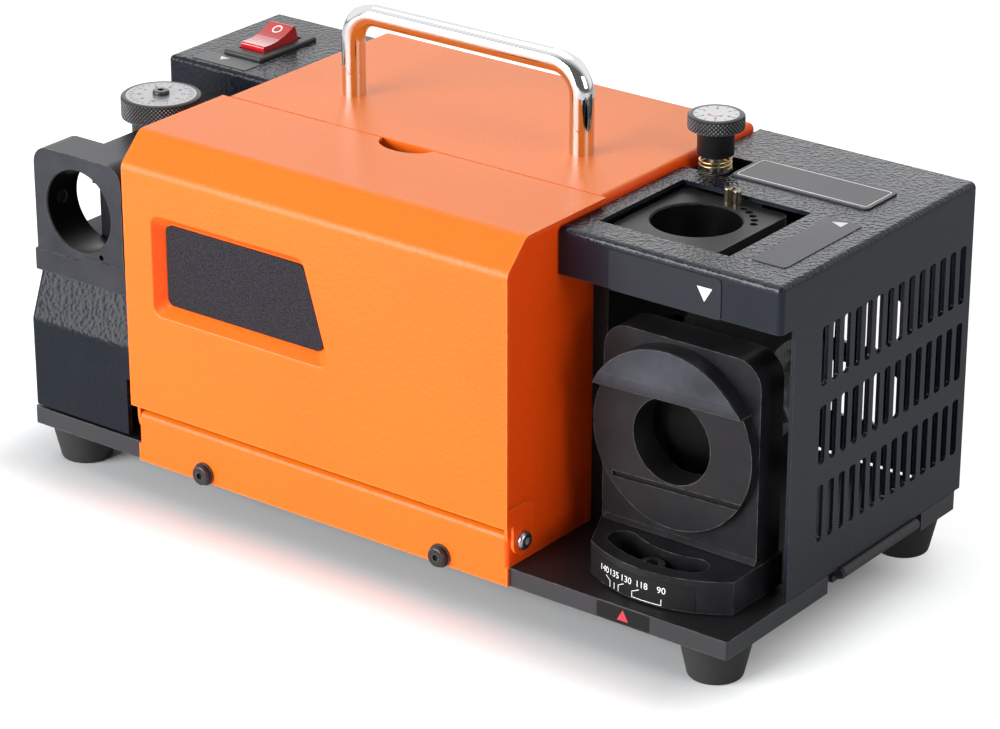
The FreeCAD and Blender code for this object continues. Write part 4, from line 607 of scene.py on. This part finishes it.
finish_of_slot = {
    "base_black": satin_black(),
    "rubber": plain_skin("rubber_black", (0.009, 0.009, 0.0095), (0.02, 0.02, 0.021),
                         (1500.0, 0.6), (0.55, 0.75), 0.0001),
    "orange_paint": orange_powder(),
    "black_screw": black_oxide("screw_oxide", (0.01, 0.01, 0.011), (0.024, 0.024, 0.026),
                               (0.2, 0.34), (0.3, 0.3, 0.3), 0.5),
    "bright_steel": bare_metal("bright_steel", (0.42, 0.42, 0.43), (0.62, 0.62, 0.63), **GROUND),
    "chrome": bare_metal("chrome_plate", (0.74, 0.75, 0.77), (0.86, 0.86, 0.87),
                         (90.0, 0.1, 2200.0), (0.03, 0.1)),
    "hammered_black": hammered_black(),
    "guard_black": leather_black(),
    "black_steel": black_oxide("black_oxide"),
    "switch_black": plain_skin("moulded_black", (0.011, 0.011, 0.0115), (0.022, 0.022, 0.023),
                               (2200.0, 0.5), (0.38, 0.5), 0.00004),
    "switch_red": tinted_red(),
    "plate_grey": smooth_film("plate_film", (0.004, 0.0039, 0.0056), (0.036, 0.0335, 0.043),
                              (0.42, 0.52), 0.14, (-2.3, 1.15)),
    "scale_silver": spun_disc("silver_scale", (SETTING_X, DIAL_Y, DIAL_TOP), (0.32, 0.322, 0.335),
                              (0.4, 0.402, 0.418), 0.45),
    "scale_white": spun_disc("white_scale", (KNOB_X, KNOB_Y, KNOB_TOP), (0.57, 0.58, 0.6),
                             (0.66, 0.67, 0.69), 0.1),
    "brass": BRASS,
    "abrasive": bonded_grit(),
    "motor_iron": motor_skin("motor_iron", (0.1, 0.1, 0.11), (0.16, 0.16, 0.17), 0.2),
    "motor_alloy": motor_skin("motor_alloy", (0.4, 0.4, 0.41), (0.55, 0.55, 0.56), 0.9),
    "fan_black": motor_skin("fan_black", (0.015, 0.015, 0.015), (0.03, 0.03, 0.03), 0.0),
}
special_finish = {
    # Blocks with a port get painted shade inside it.
    "setting_block": black_oxide("grey_oxide", (0.017, 0.0185, 0.0225), (0.034, 0.037, 0.0445),
                                 (0.34, 0.46), (0.24, 0.24, 0.24), 0.22,
                                 ((SETTING_X, 0.0, SETTING_PORT_Z), (0, 1, 0))),
    "setting_ledge": black_oxide("ledge_oxide", (0.025, 0.0258, 0.0302), (0.042, 0.0434, 0.0508),
                                 (0.42, 0.52), (0.16, 0.16, 0.16), 0.1),
    "guide_bush": turned_oxide(),
    "splitting_block": black_oxide("split_oxide", port=((SPLIT_X, SPLIT_Y, 0.0), (0, 0, 1))),
    "index_pins": bare_metal("pin_steel", (0.26, 0.21, 0.14), (0.5, 0.44, 0.34), **GROUND),
}

for part in frame["record"]["subparts"]:
    material = special_finish.get(part["node"], finish_of_slot[part["material_slot"]])
    for slot in nodes[part["node"]].material_slots:
        slot.material = material


# Meshes from arrays

def grid_faces(rows, columns, ring=False, loop=False):
    """Quads between neighbours on a grid: ring closes the columns, loop closes the rows."""
    i, j = np.meshgrid(np.arange(rows if loop else rows - 1),
                       np.arange(columns if ring else columns - 1), indexing="ij")
    below, beside = (i + 1) % rows, (j + 1) % columns
    corners = [i * columns + j, i * columns + beside, below * columns + beside, below * columns + j]
    return np.stack(corners, -1).reshape(-1, 4)


def piece(name, points, faces, body, material, slot, sharp=35.0, ridge=None):
    """Mesh object from points in millimetres, smooth but for edges sharper than an angle.
    A ridge value per point is kept for the material."""
    mesh = bpy.data.meshes.new(name)
    mesh.from_pydata(spot(np.asarray(points).reshape(-1, 3)).tolist(), [],
                     [list(map(int, face)) for face in faces])
    if ridge is not None:
        kept = mesh.attributes.new("ridge", "FLOAT", "POINT")
        kept.data.foreach_set("value", np.asarray(ridge, np.float32).ravel())
    shell = bmesh.new()
    shell.from_mesh(mesh)
    bmesh.ops.remove_doubles(shell, verts=shell.verts, dist=1e-7)
    bmesh.ops.recalc_face_normals(shell, faces=shell.faces)
    shell.to_mesh(mesh)
    shell.free()
    mesh.shade_smooth()
    mesh.set_sharp_from_angle(angle=math.radians(sharp))
    made = bpy.data.objects.new(name, mesh)
    scene.collection.objects.link(made)
    mesh.materials.append(material)
    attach(made, body)
    return made


def diamond(turn, height, count, slant):
    """Knurl height from nought to one: the lower of two sets of ridges that cross."""
    def ridge(phase):
        share = phase - np.floor(phase)
        return 1 - np.abs(2 * share - 1)
    along = turn * count / (2 * np.pi)
    return np.minimum(ridge(along + height * slant), ridge(along - height * slant))


def turned_knob(name, centre, start, side, end, count, replaced, body):
    """Closed profile of radius and height, start then side then end, carried round an upright axis.
    On the side's rows the radius drops by the knurl's depth where the diamond height is nought."""
    profile = np.array(start + side + end)
    rows = np.repeat([0.0, 1.0, 0.0], [len(start), len(side), len(end)])[:, None]
    columns = count * 8
    angle = np.linspace(0, 2 * np.pi, columns, endpoint=False)
    radius = np.repeat(profile[:, :1], columns, 1)
    height = np.repeat(profile[:, 1:2], columns, 1)
    pitch = 2 * np.pi * profile[:, 0].max() / count
    tips = diamond(angle[None, :], height, count, 1 / pitch)
    radius = radius - KNURL_DEPTH * (1 - tips) * rows
    points = np.stack([centre[0] + radius * np.cos(angle), centre[1] + radius * np.sin(angle),
                       height], -1)
    faces = grid_faces(len(profile), columns, ring=True, loop=True)
    made = piece(name, points, faces, body, KNURL, "black_steel", 50.0, tips * rows)
    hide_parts(replaced)


def knurled_rim(rim, low, high, edge):
    """Profile of a rim in three parts: lower bevel, straight side in small steps, upper bevel."""
    bottom, top = low + 2 * edge, high - 2 * edge
    side = [(rim, h) for h in np.linspace(bottom, top, int((top - bottom) / KNURL_STEP) + 2)]
    return ([(rim - BEVEL_UNDER, low), (rim - BEVEL, low + edge)], side,
            [(rim - BEVEL, high - edge), (rim - BEVEL_OVER, high)])


def dial_knob():
    """Web dial: knurled rim with bevelled edges, sunk top for the scale, bore below."""
    low, high = DIAL_BOTTOM, DIAL_TOP
    under, side, over = knurled_rim(DIAL_RIM, low, high, DIAL_EDGE)
    start = [(DIAL_BORE, low), (DIAL_BOSS, low)] + under
    end = over + [(DIAL_SEAT + SEAT_FLARE, high), (DIAL_SEAT, high - SEAT_DEPTH),
                  (DIAL_SCREW_BORE, high - SEAT_DEPTH), (DIAL_SCREW_BORE, low + DIAL_BORE_DEPTH),
                  (DIAL_BORE, low + DIAL_BORE_DEPTH)]
    turned_knob("dial_knurled", (SETTING_X, DIAL_Y), start, side, end, DIAL_KNURLS, "web_dial", "dial")


def splitting_knob():
    """Splitting knob: smooth neck, knurled rim, sunk top for the scale, bore for the stud."""
    base, low, high, neck = KNOB_NECK_BASE, KNOB_RIM_BASE, KNOB_TOP, KNOB_NECK
    under, side, over = knurled_rim(KNOB_RIM, low, high, KNOB_EDGE)
    floor = high - SEAT_DEPTH - KNOB_SEAT_FALL
    start = [(KNOB_BORE, base), (neck - KNOB_NECK_EDGE, base), (neck, base + KNOB_NECK_EDGE),
             (neck, low - KNOB_NECK_FILLET), (neck + KNOB_NECK_FILLET, low)] + under
    end = over + [(KNOB_SEAT + SEAT_FLARE, high), (KNOB_SEAT, high - SEAT_DEPTH),
                  (KNOB_SEAT_INNER, floor), (KNOB_BORE, floor)]
    turned_knob("knob_knurled", (KNOB_X, KNOB_Y), start, side, end, KNOB_KNURLS, "splitting_knob",
                "knob")


def wound_wire():
    """Spring: a circle of the wire's radius carried along a helix, its plane square to the way."""
    wire, pitch, mean, turns = 0.45, 1.5, 5.7, 2.5
    over = 0.02
    t = np.linspace(-over, turns + over, 181)[:, None]
    phi = np.linspace(0, 2 * np.pi, 12, endpoint=False)[None, :]
    angle = 2 * np.pi * t
    out = np.stack([np.cos(angle), np.sin(angle), 0 * angle], -1)
    climb = 0 * angle + pitch / (2 * np.pi)
    way = np.stack([-mean * np.sin(angle), mean * np.cos(angle), climb], -1)
    way = way / np.linalg.norm(way, axis=-1, keepdims=True)
    up = np.cross(out, way)
    middle = out * mean
    middle[..., 2] = pitch * t
    ring = middle + wire * (np.cos(phi)[..., None] * out + np.sin(phi)[..., None] * up)
    points = ring + np.array([KNOB_X, KNOB_Y, KNOB_BOSS_TOP + COIL_RISE])
    rows, columns = points.shape[:2]
    faces = grid_faces(rows, columns, ring=True).tolist()
    faces.append(list(range(columns)))
    faces.append(list(range((rows - 1) * columns, rows * columns)))
    made = piece("knob_coil", points, faces, "carriage", BRASS, "brass", 60.0)
    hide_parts("knob_spring")


# Flat signs and marks

TRIANGLE = np.array([(-0.5, -0.43), (0.5, -0.43), (0.0, 0.43)])
FONT_RATIO = 1.38


def rounded_outline(width, height, radius, steps=6):
    """Rectangle about the origin with quarter-circle corners."""
    quarter = np.linspace(0, np.pi / 2, steps)
    turns = (np.arange(4)[:, None] * np.pi / 2 + quarter[None, :]).ravel()
    corner = np.repeat(np.array([[1, 1], [-1, 1], [-1, -1], [1, -1]]), steps, 0)
    reach = np.array([width / 2 - radius, height / 2 - radius])
    return corner * reach + radius * np.stack([np.cos(turns), np.sin(turns)], -1)


def bar_outline(start, end, width):
    """Thin rectangle along a line."""
    start, end = np.array(start, float), np.array(end, float)
    way = (end - start) / np.linalg.norm(end - start)
    side = np.array([-way[1], way[0]]) * width / 2
    return np.array([start - side, end - side, end + side, start + side])


def around(radius, turn):
    """Point on a circle about the origin."""
    return np.array([radius * math.cos(turn), radius * math.sin(turn)])


def flat_place(origin, across, up):
    """Rule that lays sign coordinates and a height on a plane."""
    origin, across, up = (np.array(v, float) for v in (origin, across, up))
    out = np.cross(across, up)
    return lambda x, y, h: origin + x[..., None] * across + y[..., None] * up + h[..., None] * out


def arc_place(low):
    """Rule that wraps sign coordinates on the swivel base: x runs along the arc from the point
    straight in front of the pivot, y goes up."""
    def place(x, y, h):
        angle = -np.pi / 2 + x / ARC_RADIUS
        radius = ARC_RADIUS + h
        return np.stack([SWIVEL_X + radius * np.cos(angle), SWIVEL_Y + radius * np.sin(angle),
                         low + y], -1)
    return place


def rocker_place(x, y, h):
    """Rule that lays marks on the rocker's hollow top and turns them with its rest tilt."""
    share = y / ROCKER_HALF
    z = ROCKER_RISE - ROCKER_DIP * (1 - share * share) + h
    turn = math.radians(ROCKER_TILT)
    return np.stack([SWITCH_X + x, SWITCH_Y + y * math.cos(turn) - z * math.sin(turn),
                     ROCKER_PIVOT_Z + y * math.sin(turn) + z * math.cos(turn)], -1)


def cut_outs(outlines, thickness, place, base=0.0):
    """Points and faces of flat shapes with a thickness: bottom, top and side walls of each."""
    points, faces, start = [], [], 0
    for outline in outlines:
        outline = np.asarray(outline, float)
        count = len(outline)
        x = np.tile(outline[:, 0], 2)
        y = np.tile(outline[:, 1], 2)
        h = np.repeat([base, base + thickness], count)
        points.append(place(x, y, h))
        ring = np.arange(count)
        after = (ring + 1) % count
        faces.append((start + ring[::-1]).tolist())
        faces.append((start + count + ring).tolist())
        faces += (start + np.stack([ring, after, after + count, ring + count], -1)).tolist()
        start += 2 * count
    return np.concatenate(points), faces


def ring_band(inner, outer, centre, place, thickness, base=0.0, steps=48):
    """Flat ring with a thickness: a closed four-sided profile carried round its centre."""
    angle = np.linspace(0, 2 * np.pi, steps, endpoint=False)
    radii = np.array([inner, outer, outer, inner])[:, None]
    h = np.array([base, base, base + thickness, base + thickness])[:, None] + 0 * angle
    points = place(centre[0] + radii * np.cos(angle), centre[1] + radii * np.sin(angle), h)
    return points, grid_faces(4, steps, ring=True, loop=True).tolist()


def figures(words, place, thickness, base=0.0):
    """Points and faces of plain numbers: each is text, its middle, its height and its turn."""
    points, faces, start = [], [], 0
    for text, middle, height, turn in words:
        letters = bpy.data.curves.new("figures", "FONT")
        letters.body = text
        letters.size = height * FONT_RATIO
        letters.align_x = "CENTER"
        letters.align_y = "CENTER"
        letters.extrude = 0.5
        holder = bpy.data.objects.new("figures", letters)
        scene.collection.objects.link(holder)
        bpy.context.view_layer.update()
        solved = holder.evaluated_get(bpy.context.evaluated_depsgraph_get())
        flat = bpy.data.meshes.new_from_object(solved)
        count = len(flat.vertices)
        co = np.zeros(count * 3)
        flat.vertices.foreach_get("co", co)
        co = co.reshape(-1, 3)
        c, s = math.cos(turn), math.sin(turn)
        x = middle[0] + co[:, 0] * c - co[:, 1] * s
        y = middle[1] + co[:, 0] * s + co[:, 1] * c
        points.append(place(x, y, base + thickness * (co[:, 2] + 0.5)))
        faces += [[start + v for v in polygon.vertices] for polygon in flat.polygons]
        start += count
        bpy.data.objects.remove(holder)
        bpy.data.curves.remove(letters)
        bpy.data.meshes.remove(flat)
    return np.concatenate(points), faces


def together(*parts):
    """Several sets of points and faces as one."""
    points, faces, start = [], [], 0
    for some, these in parts:
        some = np.asarray(some).reshape(-1, 3)
        points.append(some)
        faces += [[start + int(v) for v in face] for face in these]
        start += len(some)
    return np.concatenate(points), faces


def sign(name, made, body, material, slot):
    """Piece from points and faces that were made together."""
    piece(name, made[0], made[1], body, material, slot)


def label(name, place, size, thickness, body, film, slot="plate_grey"):
    """Bare plate of a width, a height and a corner radius. Gives back the height of its face."""
    sign(name, cut_outs([rounded_outline(*size)], thickness, place, GAP), body, film, slot)
    return GAP + thickness


def triangle(name, place, size, middle, base, body, ink=WHITE_INK, slot="scale_white"):
    """Plain triangle, printed on a plate."""
    outline = TRIANGLE * np.array(size) + np.array(middle)
    sign(name, cut_outs([outline], INK, place, base), body, ink, slot)


def dial_marks():
    """Scale of the web dial: long and short lines round the rim, plain numbers inside them."""
    place = flat_place((SETTING_X, DIAL_Y, DIAL_TOP), (1, 0, 0), (0, 1, 0))
    turns = np.radians(np.arange(0, 360, 12.0))
    number, long, short, edge = 8.4, 9.9, 10.9, 12.4
    starts = [short if i % 3 else long for i in range(len(turns))]
    bars = [bar_outline(around(r, t), around(edge, t), 0.17) for r, t in zip(starts, turns)]
    words = [(str(i + 2), around(number, t), 1.7, t + math.pi / 2) for i, t in enumerate(turns[::3])]
    marks = together(cut_outs(bars, SCALE_INK, place), figures(words, place, SCALE_INK))
    sign("dial_marks", marks, "dial", GREY_INK, "switch_black")


def knob_marks():
    """Scale of the splitting knob: lines and plain numbers, and a red double arrow."""
    place = flat_place((KNOB_X, KNOB_Y, KNOB_TOP), (1, 0, 0), (0, 1, 0))
    turns = np.radians(np.arange(0, 360, 30.0))
    number, inner, edge = 5.3, 6.6, 8.0
    bars = [bar_outline(around(inner, t), around(edge, t), 0.2) for t in turns]
    words = [(str(i), around(number, t), 1.5, t - math.pi / 2) for i, t in enumerate(turns[::2])]
    black = together(cut_outs(bars, SCALE_INK, place), figures(words, place, SCALE_INK))
    sign("knob_marks", black, "knob", BLACK_INK, "switch_black")
    bend, half, tip = 3.0, 0.75, 1.3
    sweep = np.radians(np.linspace(-112, -32, 15))
    arrow = [bar_outline(around(bend, a), around(bend, b), 0.36)
             for a, b in zip(sweep[:-1], sweep[1:])]
    for turn, way in ((sweep[0], -1), (sweep[-1], 1)):
        point = around(bend, turn) + around(tip * way, turn + math.pi / 2)
        arrow.append(np.array([around(bend - half, turn), around(bend + half, turn), point]))
    sign("knob_arrow", cut_outs(arrow, SCALE_INK, place), "knob", RED_INK, "switch_red")


def arc_scale():
    """Point angle scale on the swivel base: dark band, plain numbers, lead lines to the edge."""
    place = arc_place(ARC_LOW)
    columns, low, high, face = 60, 0.4, 9.6, GAP + 0.12
    x = np.linspace(-27.0, 20.5, columns)
    rim = np.array([(low, GAP), (high, GAP), (high, face), (low, face)])
    band = place(np.tile(x, (4, 1)), np.repeat(rim[:, :1], columns, 1),
                 np.repeat(rim[:, 1:], columns, 1))
    first = np.arange(4) * columns
    faces = grid_faces(4, columns, loop=True).tolist()
    faces += [first.tolist(), (first + columns - 1).tolist()]
    sign("scale_band", (band, faces), "swivel", LABEL_DARK, "switch_black")
    marks = {140: -14.3, 135: -12.1, 130: -10.0, 118: -3.6, 90: 8.2}
    names = {140: -17.6, 135: -12.2, 130: -6.4, 118: 0.4, 90: 8.2}
    words = [(str(a), (names[a], 6.3), 2.5, 0.0) for a in names]
    lines = []
    thin, foot, bend, name_foot = 0.26, 0.75, 2.9, 4.3
    for a, mark in marks.items():
        lines.append(bar_outline((mark, 0.6), (mark, 3.0), 0.3))
        if abs(names[a] - mark) > 1:
            lead = names[a] - np.sign(names[a] - mark)
            lines.append(bar_outline((mark, bend), (lead, name_foot), thin))
    stops = np.linspace(marks[118], marks[90], 13)
    lines += [bar_outline((a, foot), (b, foot), thin) for a, b in zip(stops[:-1], stops[1:])]
    ink = together(cut_outs(lines, INK, place, face), figures(words, place, INK, face))
    sign("scale_marks", ink, "swivel", WHITE_INK, "scale_white")


def base_pointer():
    """Dark sticker on the base's front edge with a red triangle for the scale."""
    place = flat_place((277.0, 0.0, -3.6), (1, 0, 0), (0, 0, 1))
    face = label("pointer_film", place, (22.0, 6.0, 0.5), 0.12, "machine", LABEL_DARK,
                 "switch_black")
    triangle("pointer_mark", place, (4.6, 4.8), (0.0, 0.3), face, "machine", RED_INK, "switch_red")


def guard_signs():
    """Bare plates of the guard: one on its lip, two on its top, with plain triangles."""
    front = flat_place((273.0, GUARD_FRONT, 109.3), (1, 0, 0), (0, 0, 1))
    face = label("lip_plate", front, (46.0, 14.6, 1.4), 0.3, "guard", LABEL_SLATE)
    triangle("lip_arrow", front, (6.1, -6.0), (16.4, 0.6), face, "guard")
    rear = flat_place((275.8, 114.5, GUARD_TOP), (1, 0, 0), (0, 1, 0))
    face = label("rear_plate", rear, (57.0, 20.6, 1.8), 0.6, "guard", LABEL)
    outer = rounded_outline(54.3, 17.8, 1.3)
    inner = rounded_outline(53.5, 17.0, 1.0)
    count = len(outer)
    rim = np.stack([inner, outer, outer, inner])
    lift = np.array([face, face, face + INK, face + INK])[:, None] + np.zeros(count)
    border = rear(rim[..., 0], rim[..., 1], lift)
    sign("rear_border", (border, grid_faces(4, count, ring=True, loop=True)), "guard", WHITE_INK,
         "scale_white")
    side = flat_place((304.0, 66.7, GUARD_TOP), (0, 1, 0), (-1, 0, 0))
    face = label("side_plate", side, (48.5, 14.0, 1.4), 0.25, "guard", LABEL)
    triangle("side_arrow", side, (4.9, 6.0), (20.8, 1.0), face, "guard")


def hood_seals():
    """Felt strip on the hood's side above the splitting arm, and felt ring round the shaft."""
    side = flat_place((HOOD_RIGHT, 0.0, 0.0), (0, 1, 0), (0, 0, 1))
    front, back, low, high = 85.4, 121.6, 108.0, 116.2
    outline = np.array([(front, low), (back, low), (back, high), (front, high)])
    strip = cut_outs([outline], 0.3, side, 0.06)
    ring = ring_band(7.0, 14.8, (SPINDLE_Y, SPINDLE_Z), side, 0.8, 1.0)
    sign("hood_felt", together(strip, ring), "machine", LABEL_DARK, "rubber")


def housing_sign():
    """Smooth plate at the front of the housing's top, with the triangle that reads the dial."""
    place = flat_place((22.75, 90.2, HOUSING_TOP), (1, 0, 0), (0, 1, 0))
    face = label("housing_plate", place, (27.5, 9.6, 0.8), 0.2, "machine", LABEL)
    triangle("housing_arrow", place, (4.4, -3.8), (-2.6, 0.9), face, "machine")


def rocker_marks():
    """Ring and bar of the rocker's two places."""
    base, line = 0.01, -0.3
    ring = ring_band(1.55, 2.15, (0.0, 5.6), rocker_place, SCALE_INK, base)
    steps = np.linspace(-7.4, -3.8, 9)
    bars = [bar_outline((line, a), (line, b), 0.55) for a, b in zip(steps[:-1], steps[1:])]
    bar = cut_outs(bars, SCALE_INK, rocker_place, base)
    sign("rocker_marks", together(ring, bar), "rocker", WHITE_INK, "scale_white")


dial_knob()
splitting_knob()
wound_wire()
dial_marks()
knob_marks()
arc_scale()
base_pointer()
guard_signs()
hood_seals()
housing_sign()
rocker_marks()


# Studio: metres of the frame, but for the camera's place, which is in the machine's millimetres

FLOOR_REACH = 4.0
SHADOW_SHIFT = (0.012, 0.02, 0.0)
SHADOW_HALF = (0.148, 0.054, 0.0)
SHADOW_FADE = 0.045
FLOOR_GLOW = 0.62
CAMERA_SIDE = (0.58, -0.76, -0.3)
ROOM_LIGHT = 0.2
ROOM_DIM = 0.12
CAMERA_PLACE = (922.46, -915.78, 579.98)
CAMERA_FALL = 23.615
CAMERA_TURN = 37.328
CAMERA_LENS = 132.45


def white_floor():
    """Pale floor that keeps the machine's shadow, and turns white to the camera away from it."""
    mesh = bpy.data.meshes.new("floor")
    corners = [(-1, -1, 0), (1, -1, 0), (1, 1, 0), (-1, 1, 0)]
    mesh.from_pydata((np.array(corners) * FLOOR_REACH).tolist(), [], [(0, 1, 2, 3)])
    floor = bpy.data.objects.new("floor", mesh)
    scene.collection.objects.link(floor)
    f = Finish("floor_white")
    f.put(Base_Color=(0.8, 0.81, 0.82, 1.0), Roughness=0.7, Specular_IOR_Level=0.1,
          Emission_Color=(1.0, 1.0, 1.0, 1.0))
    side = f.vector("ABSOLUTE", f.vector("ADD", f.place(), SHADOW_SHIFT))
    past = f.vector("SUBTRACT", side, SHADOW_HALF)
    away = f.vector("LENGTH", f.vector("MAXIMUM", past, (0.0, 0.0, 0.0)))
    glow = f.ranged(away, interpolation_type="SMOOTHSTEP", From_Max=SHADOW_FADE, To_Max=FLOOR_GLOW)
    f.link(f.number("MULTIPLY", f.seen(), glow), f.shader.inputs["Emission Strength"])
    mesh.materials.append(f.material)


def soft_lamp(name, place, aim, size, power):
    """Large rectangular lamp that looks at a point."""
    lamp = bpy.data.lights.new(name, "AREA")
    lamp.shape = "RECTANGLE"
    lamp.size, lamp.size_y = size
    lamp.energy = power
    made = bpy.data.objects.new(name, lamp)
    scene.collection.objects.link(made)
    made.location = place
    way = np.array(aim, float) - np.array(place, float)
    flat = math.hypot(way[0], way[1])
    made.rotation_euler = (math.atan2(flat, -way[2]), 0.0, math.atan2(-way[0], way[1]))


def white_world():
    """White surroundings: full white to the camera, softer as light, and in reflections
    white behind the machine and dim on the camera's side."""
    world = bpy.data.worlds.new("studio")
    scene.world = world
    world.use_nodes = True
    w = Nodes(world.node_tree)
    back = w.tree.nodes["Background"]
    toward = w.vector("DOT_PRODUCT", w.place("Generated"), CAMERA_SIDE)
    mirrored = w.ranged(toward, interpolation_type="SMOOTHSTEP", From_Min=-0.25, From_Max=0.5,
                        To_Min=1.0, To_Max=ROOM_DIM)
    glossy = w.node("ShaderNodeLightPath").outputs["Is Glossy Ray"]
    level = w.pick(glossy, ROOM_LIGHT, mirrored)
    w.link(w.pick(w.seen(), level, 1.0), back.inputs["Strength"])
    back.inputs["Color"].default_value = (1.0, 1.0, 1.0, 1.0)


def photo_camera():
    """Camera at the photograph's viewing angle."""
    lens = bpy.data.cameras.new("camera")
    lens.lens = CAMERA_LENS
    lens.sensor_width = 36.0
    lens.sensor_fit = "HORIZONTAL"
    lens.clip_end = 50.0
    made = bpy.data.objects.new("camera", lens)
    scene.collection.objects.link(made)
    made.location = spot(CAMERA_PLACE)
    made.rotation_euler = (math.radians(90 - CAMERA_FALL), 0.0, math.radians(CAMERA_TURN))
    scene.camera = made


white_floor()
white_world()
soft_lamp("lamp_top", (-0.3, 0.1, 1.5), (0.0, 0.0, 0.05), (1.2, 1.2), 5.7)
soft_lamp("lamp_front", (-0.7, -1.7, 0.55), (0.0, 0.0, 0.08), (1.6, 1.1), 59.0)
soft_lamp("lamp_right", (1.6, -0.2, 0.7), (0.0, 0.0, 0.08), (0.8, 0.8), 7.6)
soft_lamp("lamp_back", (-0.95, 1.24, 0.68), (0.0, 0.0, 0.1), (1.3, 0.9), 4.0)
photo_camera()
scene.view_settings.view_transform = "Standard"
